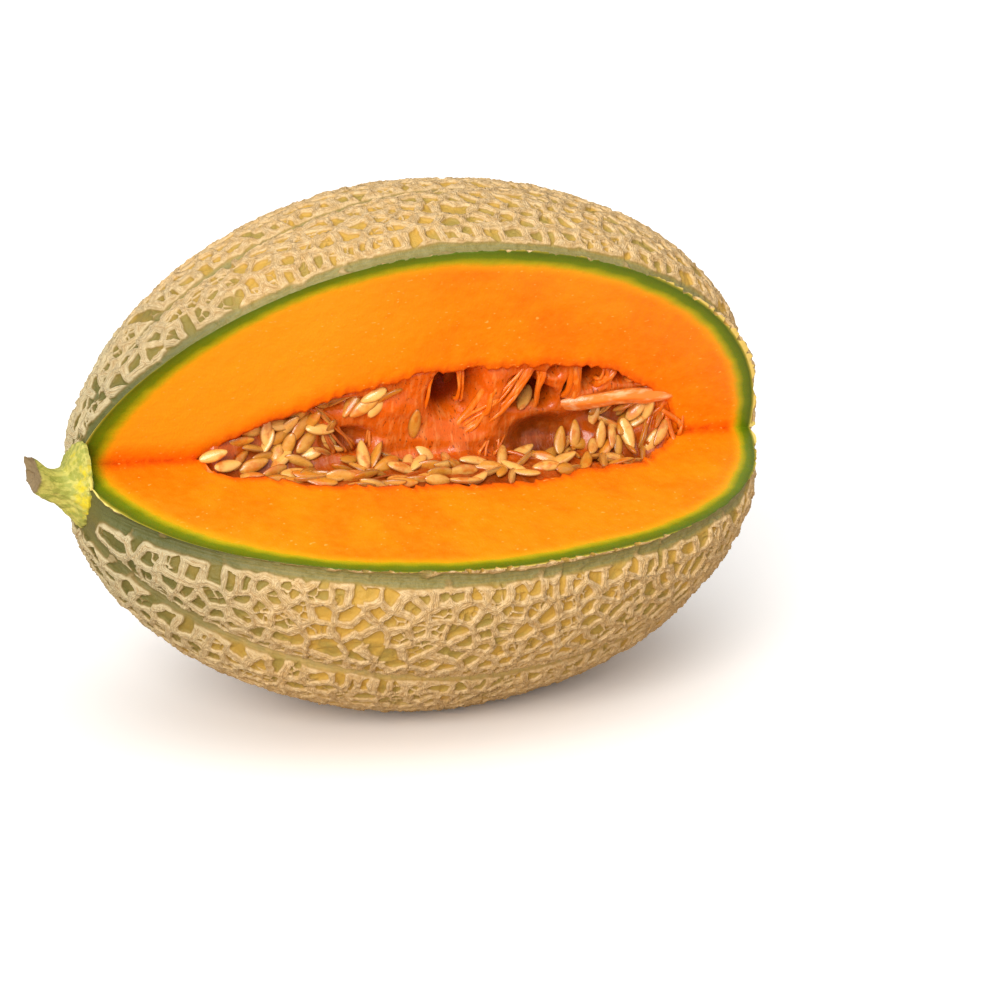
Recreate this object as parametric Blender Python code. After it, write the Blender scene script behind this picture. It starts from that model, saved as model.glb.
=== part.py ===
"""A netted cantaloupe melon lying on its side, with one wedge cut out of it.

The melon grew along its own X axis: the stem is at -X and the blossom end at +X. Angles round
that axis are degrees from the front (-Y), rising over the top (+Z). Lengths are metres.
"""

import math
import random

import bmesh
import bpy
import numpy as np
from mathutils import Vector
from mathutils.bvhtree import BVHTree

# The whole fruit
HALF_LENGTH = 0.1104
HALF_WIDTH = 0.0798
STEM_END_POWER = 1.85  # under 2 draws the stem end out to a point
BLOSSOM_END_POWER = 2.25  # over 2 makes the blossom end blunt

# The ribs and the seams between them. The seams' angles hold at the middle of the fruit, and
# from there they all run to the foot of the stem, which stands off the fruit's axis.
SEAM_ANGLES_DEG = (22.0, 60.9, 89.0, 126.0, 164.0, 203.0, 241.0, 281.0, 313.0, 345.0)
BENT_SEAM = 1  # the number of the one seam that runs along the upper cut edge, in a bow
BENT_SEAM_SLOPE = -90.0  # degrees for each metre along the axis
BENT_SEAM_BOW = -750.0  # degrees for each square metre
SEAM_SWELL = 0.0016  # how much the ribs swell between two seams
SEAM_DEPTH = 0.0016  # the narrow groove itself, below that
SEAM_WIDTH = 0.0042
RIB_END_RADIUS = 0.036  # from here to the ends the ribs fade out
SEAM_FADE = 0.45  # the share of a seam's depth that is left at the blossom end
POLE_Y = 0.0090
POLE_Z = 0.0030

# The raised net, drawn larger than life so that its facets stay few
NET_SPACING = 0.0100
NET_DARTS = 14000  # random places tried for the meshes' middles
NET_END_DARTS = 0.12  # the share of them kept right at the ends
NET_END_SPACING = 0.72  # the meshes are smaller there, by this share
NET_CREST = 0.0010
NET_FLOOR = 0.0009
STRAND_HALF_WIDTH = 0.0013
SHORTEST_STRAND = 0.0014
FEWEST_SIDES = 4  # a mesh keeps at least this many strands round it
CREST_SPREAD = (0.75, 1.1)  # the lowest and the highest crossing, as shares of the crest
SEAM_ROUGHNESS = 0.35  # the crest's share that is left right at a seam
WIDEST_STRAND = 0.55  # a strand takes at most this share of the way to a small mesh's middle
SEAM_ROW_STEP = 0.0130
SEAM_ROW_REACH = 0.93  # the share of the half length that the seams' own rows cover
SEAM_ROW_END_RADIUS = 0.034  # nearer to the ends the net covers the seams too
FLANK_OFFSET = 0.0070
FLANK_SPACING = 0.55  # the meshes beside a seam stand closer, by this share
FLANK_SCATTER = 0.0025
SEAM_ROUGH_REACH = 0.006  # the strands reach their full height this far from a seam

# The knife cuts: two faces that meet in a straight line in front of the fruit's axis. Each
# bends a little towards both ends, as a cut made by hand does.
UPPER_CUT_DEG = 64.5
UPPER_CUT_BEND_DEG = -3.8
LOWER_CUT_DEG = -15.5
LOWER_CUT_BEND_DEG = -4.2
CUT_LINE_Y = -0.0093
CUT_LINE_SLANT = -0.0144  # how much further in front it lies at the blossom end
CUT_LINE_Z = 0.0022
CUT_LINE_TILT = -0.0048  # how much higher it lies at the blossom end
CUT_STATIONS = 9
CUT_REACH = 0.150

# The seed cavity, a drop that is fullest towards the blossom end
CAVITY_START = -0.078
CAVITY_END = 0.090
CAVITY_RADIUS = 0.0330
CAVITY_Y = -0.0030
CAVITY_Z = 0.0030
CAVITY_SKEW = 1.5
CAVITY_END_SHARPNESS = 2.2
CAVITY_FULLNESS = 0.6
CAVITY_LOBES = 0.04  # three broad lobes round the wall
CAVITY_WAVES = 0.03  # smaller waves along it
CAVITY_WAVE_LENGTH = 0.0075
CAVITY_SIDES = 22
CAVITY_RINGS = 20

# The stem and its seat
STEM_BASE_RADIUS = 0.0112
STEM_NECK_RADIUS = 0.0044
STEM_LENGTH = 0.0150
STEM_RISE = 0.0050
STEM_Y = 0.0060
STEM_Z = 0.0030
STEM_LEAN_FRONT = -0.0030
STEM_RIDGES = 5
STEM_SIDES = 20
SEAT_DEPTH = 0.0022
SEAT_WIDTH_SHARE = 1.25  # the flat seat is wider than the stem's foot
SEAT_CUT_LENGTH = 0.020
STEM_SHARES = (0.0, 0.05, 0.13, 0.24, 0.38, 0.56, 0.76, 0.93, 1.0)  # where its rings stand
STEM_FLARE_LENGTH = 0.16
STEM_LIP = 0.0006  # how much it widens again at its cut end
STEM_RIDGE_SHARE = 0.10
STEM_TIP_HOLLOW = 0.0012

# The pulp and its seeds
CORE_INSET = 0.00075  # inside the cavity's wall, so that the facets of both keep apart
CORE_RECESS = 0.0016  # the pulp lies this far behind the cut faces
CORE_HOLLOW_RADIUS = 0.0120
CORE_HOLLOW_STEPS = 6
POCKET_CENTRE = (0.034, -0.0125, 0.0145)
POCKET_RADII = (0.036, 0.0125, 0.0100)
FLAP_START = 0.040
FLAP_END = 0.0725
FLAP_START_SHARE = 0.55  # how far up the pulp's open face it starts
FLAP_END_SHARE = 0.66
FLAP_RADIUS = 0.0028
FLAP_ROOT = 0.0020
FLAP_BULGE = 0.0015
BARE_START = -0.004  # from here on the upper part of the pulp holds few seeds
BARE_LOWER_SHARE = 0.36
BARENESS = 0.88
SEED_LENGTH = 0.0106
SEED_WIDTH = 0.0046
SEED_THICKNESS = 0.0022
SEED_COUNT = 110
SEED_TRIES = 12000
SEED_CLEARANCE = 0.0012  # between the seeds and the flesh
SEED_LEAN = 0.35
SEED_TURN = 0.5
FACET_SHARE = 0.97  # the cavity's flat facets cut inside its round form by the rest
STRING_COUNT = 11
STRING_RADIUS = 0.0009
STRING_STEPS = 5
STRING_ROOT = 0.0035  # how deep their ends are sunk
STRING_TOP_SHARE = 0.88
STRING_FOOT_SHARE = 0.30

# The flat spot that the fruit rests on
SPOT_DEPTH = 0.0022
SPOT_X = 0.0030
SPOT_Y = 0.0095

GAP = 0.0003  # between neighbouring pieces
SHARP_DEG = 40.0  # edges bent more than this are shaded sharp
RANDOM_SEED = 11


def clear_scene():
    for obj in list(bpy.data.objects):
        bpy.data.objects.remove(obj)


def material(name, color, roughness):
    made = bpy.data.materials.new(name)
    made.use_nodes = True
    shader = made.node_tree.nodes["Principled BSDF"]
    shader.inputs["Base Color"].default_value = (*color, 1.0)
    shader.inputs["Roughness"].default_value = roughness
    shader.inputs["Metallic"].default_value = 0.0
    made.diffuse_color = (*color, 1.0)
    return made


def object_from(name, verts, faces):
    mesh = bpy.data.meshes.new(name)
    mesh.from_pydata([tuple(v) for v in verts], [], faces)
    mesh.update()
    made = bpy.data.objects.new(name, mesh)
    bpy.context.scene.collection.objects.link(made)
    return made


def make_helper(obj):
    obj.hide_render = True
    obj.display_type = "WIRE"
    return obj


def face_outwards(obj):
    bm = bmesh.new()
    bm.from_mesh(obj.data)
    bmesh.ops.recalc_face_normals(bm, faces=bm.faces)
    bm.to_mesh(obj.data)
    bm.free()


def smooth(obj):
    """Shades an object smooth, except at its sharper edges."""
    obj.data.shade_smooth()
    obj.data.set_sharp_from_angle(angle=math.radians(SHARP_DEG))


def boolean(obj, other, operation):
    modifier = obj.modifiers.new(operation.lower(), "BOOLEAN")
    modifier.operation = operation
    modifier.object = other
    modifier.solver = "EXACT"
    modifier.material_mode = "TRANSFER"


def apply_modifiers(obj):
    bpy.context.view_layer.update()
    graph = bpy.context.evaluated_depsgraph_get()
    mesh = bpy.data.meshes.new_from_object(obj.evaluated_get(graph))
    obj.modifiers.clear()
    obj.data = mesh


def keep_main_body(obj):
    """Drops loose scraps, and fills hollows that the union has sealed."""
    bm = bmesh.new()
    bm.from_mesh(obj.data)
    left = set(bm.verts)
    bodies = []
    while left:
        body = {left.pop()}
        edge_of_body = list(body)
        while edge_of_body:
            vert = edge_of_body.pop()
            for edge in vert.link_edges:
                other = edge.other_vert(vert)
                if other in left:
                    left.remove(other)
                    body.add(other)
                    edge_of_body.append(other)
        bodies.append(body)
    main_body = max(bodies, key=len)
    bmesh.ops.delete(bm, geom=[v for v in bm.verts if v not in main_body], context="VERTS")
    bm.to_mesh(obj.data)
    bm.free()


def direction(angle_deg):
    """The unit vector out from the axis at an angle round the fruit."""
    angle = math.radians(angle_deg)
    return Vector((0.0, -math.cos(angle), math.sin(angle)))


def profile_radius(x):
    """The fruit's radius at a place along its axis, before ribs."""
    t = min(abs(x) / HALF_LENGTH, 1.0)
    power = STEM_END_POWER if x < 0 else BLOSSOM_END_POWER
    return HALF_WIDTH * (1.0 - t**power) ** (1.0 / power)


def rib_centre(x):
    """The point that the seams run round at a place along the axis."""
    share = max(-x / HALF_LENGTH, 0.0) ** 2
    return Vector((x, POLE_Y * share, POLE_Z * share))


def seam_angles(x):
    """The angles of all seams at a place along the axis."""
    angles = list(SEAM_ANGLES_DEG)
    angles[BENT_SEAM] += BENT_SEAM_SLOPE * x + BENT_SEAM_BOW * x * x
    return angles


def seam_point(x, seam_deg):
    """Where a seam lies on the smooth skin at a place along the axis."""
    centre = rib_centre(x)
    off = Vector((0.0, centre.y, centre.z))
    heading = direction(seam_deg)
    along = off.dot(heading)
    reach = -along + math.sqrt(max(along**2 - off.length_squared + profile_radius(x) ** 2, 0.0))
    return centre + heading * reach


def seam_distance(x, angle_deg):
    """The nearest seam's distance along the skin, and the share of the rib's half width that it is."""
    point = smooth_point(x, angle_deg) - rib_centre(x)
    gaps = [(angle_of(point) - seam + 180.0) % 360.0 - 180.0 for seam in seam_angles(x)]
    ahead = min((-g for g in gaps if g <= 0.0), default=180.0)
    behind = min((g for g in gaps if g > 0.0), default=180.0)
    nearest = min(ahead, behind)
    return math.radians(nearest) * profile_radius(x), 2.0 * nearest / (ahead + behind)


def smooth_point(x, angle_deg):
    return Vector((x, 0.0, 0.0)) + direction(angle_deg) * profile_radius(x)


def angle_of(point):
    return math.degrees(math.atan2(point.z, -point.y))


def meridian_steps(step, reach):
    """Places along the axis that lie one step apart along the skin."""
    found = [-reach * HALF_LENGTH]
    x = found[0]
    last = smooth_point(x, 0.0)
    while x < reach * HALF_LENGTH:
        x += step / 40.0
        here = smooth_point(x, 0.0)
        if (here - last).length >= step:
            found.append(x)
            last = here
    return found


def net_sites(rng):
    """The middles of the net's meshes: a row in each seam, one each side of it, the rest scattered."""
    sites = [Vector((-HALF_LENGTH, 0.0, 0.0)), Vector((HALF_LENGTH, 0.0, 0.0))]
    seams = ["stem_end", "blossom_end"]
    for number in range(len(SEAM_ANGLES_DEG)):
        for x in meridian_steps(SEAM_ROW_STEP, SEAM_ROW_REACH):
            if profile_radius(x) < SEAM_ROW_END_RADIUS:
                continue
            sites.append(seam_point(x, seam_angles(x)[number]))
            seams.append(number)
    flanks = []
    for number in range(len(SEAM_ANGLES_DEG)):
        for side in (-1.0, 1.0):
            for x in meridian_steps(NET_SPACING, SEAM_ROW_REACH):
                x += rng.uniform(-FLANK_SCATTER, FLANK_SCATTER)
                radius = profile_radius(x)
                if radius > SEAM_ROW_END_RADIUS:
                    seam = seam_angles(x)[number]
                    flanks.append(seam_point(x, seam + side * math.degrees(FLANK_OFFSET / radius)))
    rng.shuffle(flanks)
    darts = []
    while len(darts) < NET_DARTS:
        x = rng.uniform(-1.0, 1.0) * HALF_LENGTH
        if rng.random() < NET_END_DARTS + profile_radius(x) / HALF_WIDTH:
            darts.append(smooth_point(x, rng.uniform(0.0, 360.0)))
    places = np.array(sites)
    for candidate, apart in [(f, FLANK_SPACING) for f in flanks] + [(d, 1.0) for d in darts]:
        width = profile_radius(candidate.x) / HALF_WIDTH
        reach = NET_SPACING * apart * (NET_END_SPACING + (1.0 - NET_END_SPACING) * width)
        near = np.linalg.norm(places - np.array(candidate), axis=1)
        if near.min() > reach:
            places = np.vstack([places, np.array(candidate)])
            seams.append(None)
    return [Vector(p) for p in places], seams


def on_ball(point):
    """The place on a unit ball that answers a place on the fruit's skin."""
    share = min(max(point.x / HALF_LENGTH, -1.0), 1.0)
    return Vector((share, 0.0, 0.0)) + direction(angle_of(point)) * math.sqrt(1.0 - share**2)


def off_ball(spot):
    """The place on the smooth skin that answers a place on the unit ball."""
    return smooth_point(HALF_LENGTH * spot.x, angle_of(spot))


def skin_point(spot, raised):
    """A point of the ribbed skin, given on the unit ball. The ribs fade out towards both ends."""
    point = off_ball(spot)
    radius = profile_radius(point.x)
    distance, share = seam_distance(point.x, angle_of(spot))
    ends = min(1.0, radius / RIB_END_RADIUS)
    fade = ends * (1.0 + (SEAM_FADE - 1.0) * (0.5 + 0.5 * spot.x))
    swell = SEAM_SWELL * fade * (1.0 - math.sin(0.5 * math.pi * share))
    groove = SEAM_DEPTH * fade * math.exp(-((distance / SEAM_WIDTH) ** 2))
    outward = Vector((point.x / HALF_LENGTH**2, point.y / HALF_WIDTH**2, point.z / HALF_WIDTH**2))
    return point + outward.normalized() * (raised - swell - groove)


def faces_around(vert):
    """The faces round a vertex in order, each with the vertex that its edge to the next one leads to."""
    start = vert.link_loops[0]
    loop = start
    ring = []
    while True:
        before = loop.link_loop_prev
        ring.append((loop.face.index, before.vert.index))
        loop = before.link_loop_radial_next
        if loop == start:
            return ring


def merged_corners(bm):
    """Each face's crossing in the net, with those that almost touch made one, and where they lie."""
    corners = [face.normal.normalized() for face in bm.faces]
    crossing = list(range(len(corners)))
    sides = [len(vert.link_faces) for vert in bm.verts]
    for edge in bm.edges:
        first, second = (crossing[face.index] for face in edge.link_faces)
        short = (off_ball(corners[first]) - off_ball(corners[second])).length < SHORTEST_STRAND
        if first != second and short and all(sides[vert.index] > FEWEST_SIDES for vert in edge.verts):
            corners[first] = (corners[first] + corners[second]).normalized()
            crossing = [first if number == second else number for number in crossing]
            for vert in edge.verts:
                sides[vert.index] -= 1
    return crossing, corners


def mesh_outline(vert, crossing):
    """The crossings round one mesh of the net, each with the mesh beyond the strand to the next one."""
    ring = [(crossing[number], across) for number, across in faces_around(vert)]
    return [entry for i, entry in enumerate(ring) if entry[0] != ring[(i + 1) % len(ring)][0]]


def split_slope(spots, slope):
    """Two triangles of a four-sided slope, cut along the diagonal that doesn't fold it."""
    a, b, c, d = slope

    def across(i, j, k):
        return abs((spots[j] - spots[i]).cross(spots[k] - spots[i]).dot(spots[i]))

    def spread(triangles):
        return sum(across(*corners) for corners in triangles)

    return min((((a, b, c), (a, c, d)), ((a, b, d), (b, c, d))), key=spread)


def netted_skin(rng):
    """The whole fruit's closed skin: strands between the net's meshes, and a pit in each mesh."""
    sites, seams = net_sites(rng)
    bm = bmesh.new()
    for site in sites:
        bm.verts.new(on_ball(site))
    bmesh.ops.convex_hull(bm, input=bm.verts)
    bmesh.ops.recalc_face_normals(bm, faces=bm.faces)
    bm.verts.index_update()
    bm.faces.index_update()
    bm.verts.ensure_lookup_table()
    bm.faces.ensure_lookup_table()
    crossing, spots = merged_corners(bm)
    heights, faces = [], []
    for spot in spots:
        distance, _ = seam_distance(HALF_LENGTH * spot.x, angle_of(spot))
        rough = min(1.0, SEAM_ROUGHNESS + distance / SEAM_ROUGH_REACH)
        heights.append(NET_CREST * rough * rng.uniform(*CREST_SPREAD))

    def floor_vertex(members, target):
        """A corner of a pit, between the corners of the mesh that it answers."""
        inner = Vector()
        for number in members:
            length = (off_ball(target) - off_ball(spots[number])).length
            inner += spots[number].lerp(target, min(STRAND_HALF_WIDTH / length, WIDEST_STRAND))
        spots.append(inner.normalized())
        heights.append(-NET_FLOOR)
        return len(spots) - 1

    meshes_at = {number: set() for number in crossing}
    for face in bm.faces:
        meshes_at[crossing[face.index]].update(v.index for v in face.verts)
    seam_floor = {}
    for vert in bm.verts:
        ring = mesh_outline(vert, crossing)
        seam = seams[vert.index]
        count = len(ring)
        if seam is None:
            sides = max(3, (count + 1) // 2)
            split = [i * sides // count for i in range(count)]
            pit = [
                floor_vertex([ring[i][0] for i in range(count) if split[i] == side], vert.co)
                for side in range(sides)
            ]
            rim = [pit[side] for side in split]
        else:
            rim = []
            for i, (number, across) in enumerate(ring):
                walled = seam not in (seams[across], seams[ring[i - 1][1]])
                own = [vert.index] if walled else [k for k in meshes_at[number] if seams[k] == seam]
                key = (number, *sorted(own))
                if key not in seam_floor:
                    middle = sum((bm.verts[index].co for index in own), Vector()).normalized()
                    seam_floor[key] = floor_vertex([number], middle)
                rim.append(seam_floor[key])
            pit = rim
        if len(pit) == 3:
            faces.append(tuple(pit))
        else:
            spots.append(vert.co.copy())
            heights.append(-NET_FLOOR)
            faces += [(pit[i], pit[(i + 1) % len(pit)], len(spots) - 1) for i in range(len(pit))]
        for i, (number, across) in enumerate(ring):
            j = (i + 1) % count
            if seam is not None and seams[across] == seam:
                continue
            if rim[i] == rim[j]:
                faces.append((number, ring[j][0], rim[i]))
            else:
                faces += split_slope(spots, (number, ring[j][0], rim[j], rim[i]))
    bm.free()
    used = sorted({index for face in faces for index in face})
    place = {index: order for order, index in enumerate(used)}
    verts = [skin_point(spots[index], heights[index]) for index in used]
    skin = object_from("fruit", verts, [[place[index] for index in face] for face in faces])
    face_outwards(skin)
    return skin


def cut_line_point(x):
    """Where the two cut faces meet."""
    share = x / HALF_LENGTH
    return Vector((x, CUT_LINE_Y + CUT_LINE_SLANT * share, CUT_LINE_Z + CUT_LINE_TILT * share))


def cut_angles(x):
    """The angles of the lower and the upper cut face."""
    bend = (x / HALF_LENGTH) ** 2
    return LOWER_CUT_DEG + LOWER_CUT_BEND_DEG * bend, UPPER_CUT_DEG + UPPER_CUT_BEND_DEG * bend


def swept_solid(name, section_at, start_x, end_x):
    """A solid whose section is given at each place along the axis."""
    places = [start_x + (end_x - start_x) * i / (CUT_STATIONS - 1) for i in range(CUT_STATIONS)]
    sections = [section_at(x) for x in places]
    count = len(sections[0])
    verts = [point for section in sections for point in section]
    last = (CUT_STATIONS - 1) * count
    faces = [tuple(range(count)), tuple(range(last + count - 1, last - 1, -1))]
    for station in range(CUT_STATIONS - 1):
        a, b = station * count, (station + 1) * count
        faces += [(a + i, b + i, b + (i + 1) % count, a + (i + 1) % count) for i in range(count)]
    made = object_from(name, verts, faces)
    bm = bmesh.new()
    bm.from_mesh(made.data)
    bmesh.ops.triangulate(bm, faces=bm.faces)
    bmesh.ops.recalc_face_normals(bm, faces=bm.faces)
    bm.to_mesh(made.data)
    bm.free()
    return made


def wedge_section(x):
    corner = cut_line_point(x)
    lower, upper = cut_angles(x)
    return [corner, corner + direction(upper) * CUT_REACH, corner + direction(lower) * CUT_REACH]


def cavity_profile(x):
    share = min(max((x - CAVITY_START) / (CAVITY_END - CAVITY_START), 0.0), 1.0)
    u = 2.0 * share**CAVITY_SKEW - 1.0
    return CAVITY_RADIUS * (1.0 - abs(u) ** CAVITY_END_SHARPNESS) ** CAVITY_FULLNESS


def cavity_wave(x, angle_deg):
    """The cavity's wall is uneven, in three broad lobes with smaller waves along it."""
    lobes = CAVITY_LOBES * math.cos(math.radians(3.0 * angle_deg - 40.0))
    waves = CAVITY_WAVES * math.sin(x / CAVITY_WAVE_LENGTH + math.radians(2.0 * angle_deg))
    return 1.0 + lobes + waves


def cavity_middle(x):
    return Vector((x, CAVITY_Y, CAVITY_Z))


def cavity_shape(name, inset):
    """The cavity as a closed drop, or the same drop a little smaller."""
    length = CAVITY_END - CAVITY_START
    turns = [math.pi * i / CAVITY_RINGS for i in range(1, CAVITY_RINGS)]
    places = [CAVITY_START + length * 0.5 * (1.0 - math.cos(turn)) for turn in turns]
    verts = [cavity_middle(CAVITY_START + inset)]
    for x in places:
        for k in range(CAVITY_SIDES):
            angle = 360.0 * k / CAVITY_SIDES
            radius = max(cavity_profile(x) * cavity_wave(x, angle) - inset, 0.0004)
            verts.append(cavity_middle(x) + direction(angle) * radius)
    verts.append(cavity_middle(CAVITY_END - inset))
    faces = []
    for k in range(CAVITY_SIDES):
        after = (k + 1) % CAVITY_SIDES
        faces.append((0, 1 + after, 1 + k))
        for ring in range(len(places) - 1):
            a, b = 1 + ring * CAVITY_SIDES, 1 + (ring + 1) * CAVITY_SIDES
            faces.append((a + k, a + after, b + after, b + k))
        last = 1 + (len(places) - 1) * CAVITY_SIDES
        faces.append((last + k, last + after, len(verts) - 1))
    made = object_from(name, verts, faces)
    face_outwards(made)
    return made


def stem_seat_cutter():
    """Takes a flat seat for the stem off the pointed end."""
    bm = bmesh.new()
    radius = STEM_BASE_RADIUS * SEAT_WIDTH_SHARE
    bmesh.ops.create_cone(
        bm, cap_ends=True, segments=STEM_SIDES, radius1=radius, radius2=radius, depth=SEAT_CUT_LENGTH
    )
    mesh = bpy.data.meshes.new("stem_seat_cutter")
    bm.to_mesh(mesh)
    bm.free()
    made = bpy.data.objects.new("stem_seat_cutter", mesh)
    bpy.context.scene.collection.objects.link(made)
    made.rotation_euler = (0.0, math.radians(90.0), 0.0)
    made.location = (-HALF_LENGTH + SEAT_DEPTH - 0.5 * SEAT_CUT_LENGTH, STEM_Y, STEM_Z)
    return make_helper(made)


def ground_cutter(height):
    """A block whose top is the surface that the fruit rests on."""
    bm = bmesh.new()
    bmesh.ops.create_cube(bm, size=0.300)
    mesh = bpy.data.meshes.new("ground_cutter")
    bm.to_mesh(mesh)
    bm.free()
    made = bpy.data.objects.new("ground_cutter", mesh)
    bpy.context.scene.collection.objects.link(made)
    made.location = (0.0, 0.0, height - 0.150)
    return make_helper(made)


def build_fruit(rng):
    """Rind and flesh in one solid, as they grew, with the wedge and the seed cavity cut out."""
    fruit = netted_skin(rng)
    fruit.data.materials.append(material("rind", (0.72, 0.56, 0.33), 0.75))
    cutter = swept_solid("wedge_cutter", wedge_section, -1.25 * HALF_LENGTH, 1.25 * HALF_LENGTH)
    cutter.data.materials.append(material("flesh", (0.98, 0.30, 0.02), 0.45))
    cavity = cavity_shape("cavity_cutter", 0.0)
    cavity.data.materials.append(bpy.data.materials["flesh"])
    for other in (cutter, cavity, stem_seat_cutter()):
        boolean(fruit, other, "DIFFERENCE")
        make_helper(other)
    return fruit


def stem_ring(share):
    """The middle and the radius of the stem at a share of its length."""
    x = -HALF_LENGTH + SEAT_DEPTH - GAP - share * STEM_LENGTH
    flare = math.exp(-share / STEM_FLARE_LENGTH)
    radius = STEM_NECK_RADIUS + (STEM_BASE_RADIUS - STEM_NECK_RADIUS) * flare + STEM_LIP * share**3
    middle = Vector((x, STEM_Y + STEM_LEAN_FRONT * share**1.5, STEM_Z + STEM_RISE * share**1.6))
    return middle, radius


def build_stem():
    """A short stalk with five ridges that flares out onto the fruit."""
    verts, faces = [], []
    for share in STEM_SHARES:
        middle, radius = stem_ring(share)
        for k in range(STEM_SIDES):
            angle = 360.0 * k / STEM_SIDES
            ridge = STEM_RIDGE_SHARE * math.cos(math.radians(STEM_RIDGES * angle)) * (0.5 + 0.5 * share)
            verts.append(middle + direction(angle) * radius * (1.0 + ridge))
    for ring in range(len(STEM_SHARES) - 1):
        for k in range(STEM_SIDES):
            a, b = ring * STEM_SIDES, (ring + 1) * STEM_SIDES
            after = (k + 1) % STEM_SIDES
            faces.append((a + k, a + after, b + after, b + k))
    faces.append(tuple(range(STEM_SIDES)))
    tip = [(len(STEM_SHARES) - 1) * STEM_SIDES + k for k in range(STEM_SIDES)]
    verts.append(stem_ring(1.0)[0] + Vector((STEM_TIP_HOLLOW, 0.0, 0.0)))
    faces += [(tip[k], tip[(k + 1) % STEM_SIDES], len(verts) - 1) for k in range(STEM_SIDES)]
    stem = object_from("stem", verts, faces)
    face_outwards(stem)
    stem.data.materials.append(material("stem", (0.42, 0.43, 0.11), 0.65))
    smooth(stem)
    return stem


def hollow_corner(x):
    """The pulp's open face at a place along the axis: its corner, its rounding's middle and the angles."""
    lower, upper = cut_angles(x)
    half = 0.5 * (upper - lower)
    bisector = direction(0.5 * (upper + lower))
    corner = cut_line_point(x) - bisector * (CORE_RECESS / math.sin(math.radians(half)))
    centre = corner + bisector * (CORE_HOLLOW_RADIUS / math.sin(math.radians(half)))
    return corner, centre, lower, upper


def hollow_section(x):
    """The section that opens the pulp: the wedge set back a little, with its corner rounded out."""
    corner, centre, lower, upper = hollow_corner(x)
    middle = 0.5 * (lower + upper) + 180.0
    turn = 90.0 - 0.5 * (upper - lower)
    arc = [
        centre + direction(middle - turn + 2.0 * turn * i / CORE_HOLLOW_STEPS) * CORE_HOLLOW_RADIUS
        for i in range(CORE_HOLLOW_STEPS + 1)
    ]
    return [corner + direction(upper) * CUT_REACH, *arc, corner + direction(lower) * CUT_REACH]


def hollow_target(x, share):
    """A point of the pulp's open face and the way it faces. Share 0 is its lower edge and 1 its upper one."""
    corner, centre, lower, upper = hollow_corner(x)
    half = 0.5 * (upper - lower)
    s = 2.0 * share - 1.0
    if abs(s) < 0.5:
        angle = 0.5 * (lower + upper) + 180.0 - 2.0 * (90.0 - half) * s
        return centre + direction(angle) * CORE_HOLLOW_RADIUS, direction(angle + 180.0)
    side = upper if s > 0 else lower
    facing = direction(side - 90.0 if s > 0 else side + 90.0)
    near = CORE_HOLLOW_RADIUS / math.tan(math.radians(half))
    far = max(cavity_profile(x) - (corner - cavity_middle(x)).dot(direction(side)), near)
    return corner + direction(side) * (near + (far - near) * (2.0 * abs(s) - 1.0)), facing


def free_of_fruit(point, margin):
    """Whether a point is clear of the flesh, by being in the cavity or out in the cut-away wedge."""
    from_middle = point - cavity_middle(point.x)
    angle = angle_of(from_middle)
    nearby = (point.x - 2.0 * margin, point.x, point.x + 2.0 * margin)
    room = min(cavity_profile(x) * cavity_wave(x, angle) for x in nearby)
    if from_middle.length < FACET_SHARE * room - margin:
        return True
    from_line = point - cut_line_point(point.x)
    lower, upper = cut_angles(point.x)
    above = from_line.dot(direction(lower + 90.0))
    below = from_line.dot(direction(upper - 90.0))
    return above > margin and below > margin


def seed_outline():
    """The six points round a flat seed: pointed at one end and round at the other."""
    half, wide = 0.5 * SEED_LENGTH, 0.5 * SEED_WIDTH
    upper_side = [(-0.35 * half, 0.85 * wide), (0.45 * half, wide)]
    lower_side = [(u, -v) for u, v in reversed(upper_side)]
    return [(-half, 0.0), *upper_side, (half, 0.0), *lower_side]


def build_seed(number, middle, heading, facing):
    """One seed as a lens of twelve triangles."""
    side = facing.cross(heading).normalized()
    rim = [middle + heading * u + side * v for u, v in seed_outline()]
    thick = 0.5 * SEED_THICKNESS
    verts = [*rim, middle + facing * thick, middle - facing * thick]
    faces = [(i, (i + 1) % 6, 6) for i in range(6)] + [((i + 1) % 6, i, 7) for i in range(6)]
    seed = object_from(f"seed_{number}", verts, faces)
    face_outwards(seed)
    return seed


def seed_places(rng, surface):
    """Where the seeds lie on the pulp: thick at the stem end and along the lower edge, thin elsewhere."""
    places = []
    for _ in range(SEED_TRIES):
        if len(places) == SEED_COUNT:
            break
        x = rng.uniform(CAVITY_START + 0.004, CAVITY_END - 0.006)
        share = rng.uniform(0.02, 0.98)
        if x > BARE_START and share > BARE_LOWER_SHARE and rng.random() < BARENESS:
            continue
        target, facing = hollow_target(x, share)
        hit, normal, _, _ = surface.ray_cast(target + facing * 0.020, -facing, 0.034)
        if hit is None:
            continue
        lean = Vector([rng.gauss(0.0, SEED_LEAN) for _ in range(3)])
        up = (normal + lean).normalized()
        turned = [rng.gauss(0.0, SEED_TURN) for _ in range(2)]
        heading = Vector((rng.choice((-1.0, 1.0)), *turned))
        heading = (heading - up * heading.dot(up)).normalized()
        middle = hit + normal * rng.uniform(-0.0003, 0.0006)
        side = up.cross(heading)
        rim = [middle + heading * u + side * v for u, v in seed_outline()]
        between = [rim[i].lerp(rim[j], 0.5) for i, j in ((0, 2), (2, 4), (3, 5), (0, 4))]
        clear = all(free_of_fruit(point, SEED_CLEARANCE) for point in (*rim, *between, middle))
        if clear and all((middle - other[0]).length > SEED_WIDTH for other in places):
            places.append((middle, heading, up))
    return places


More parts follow.
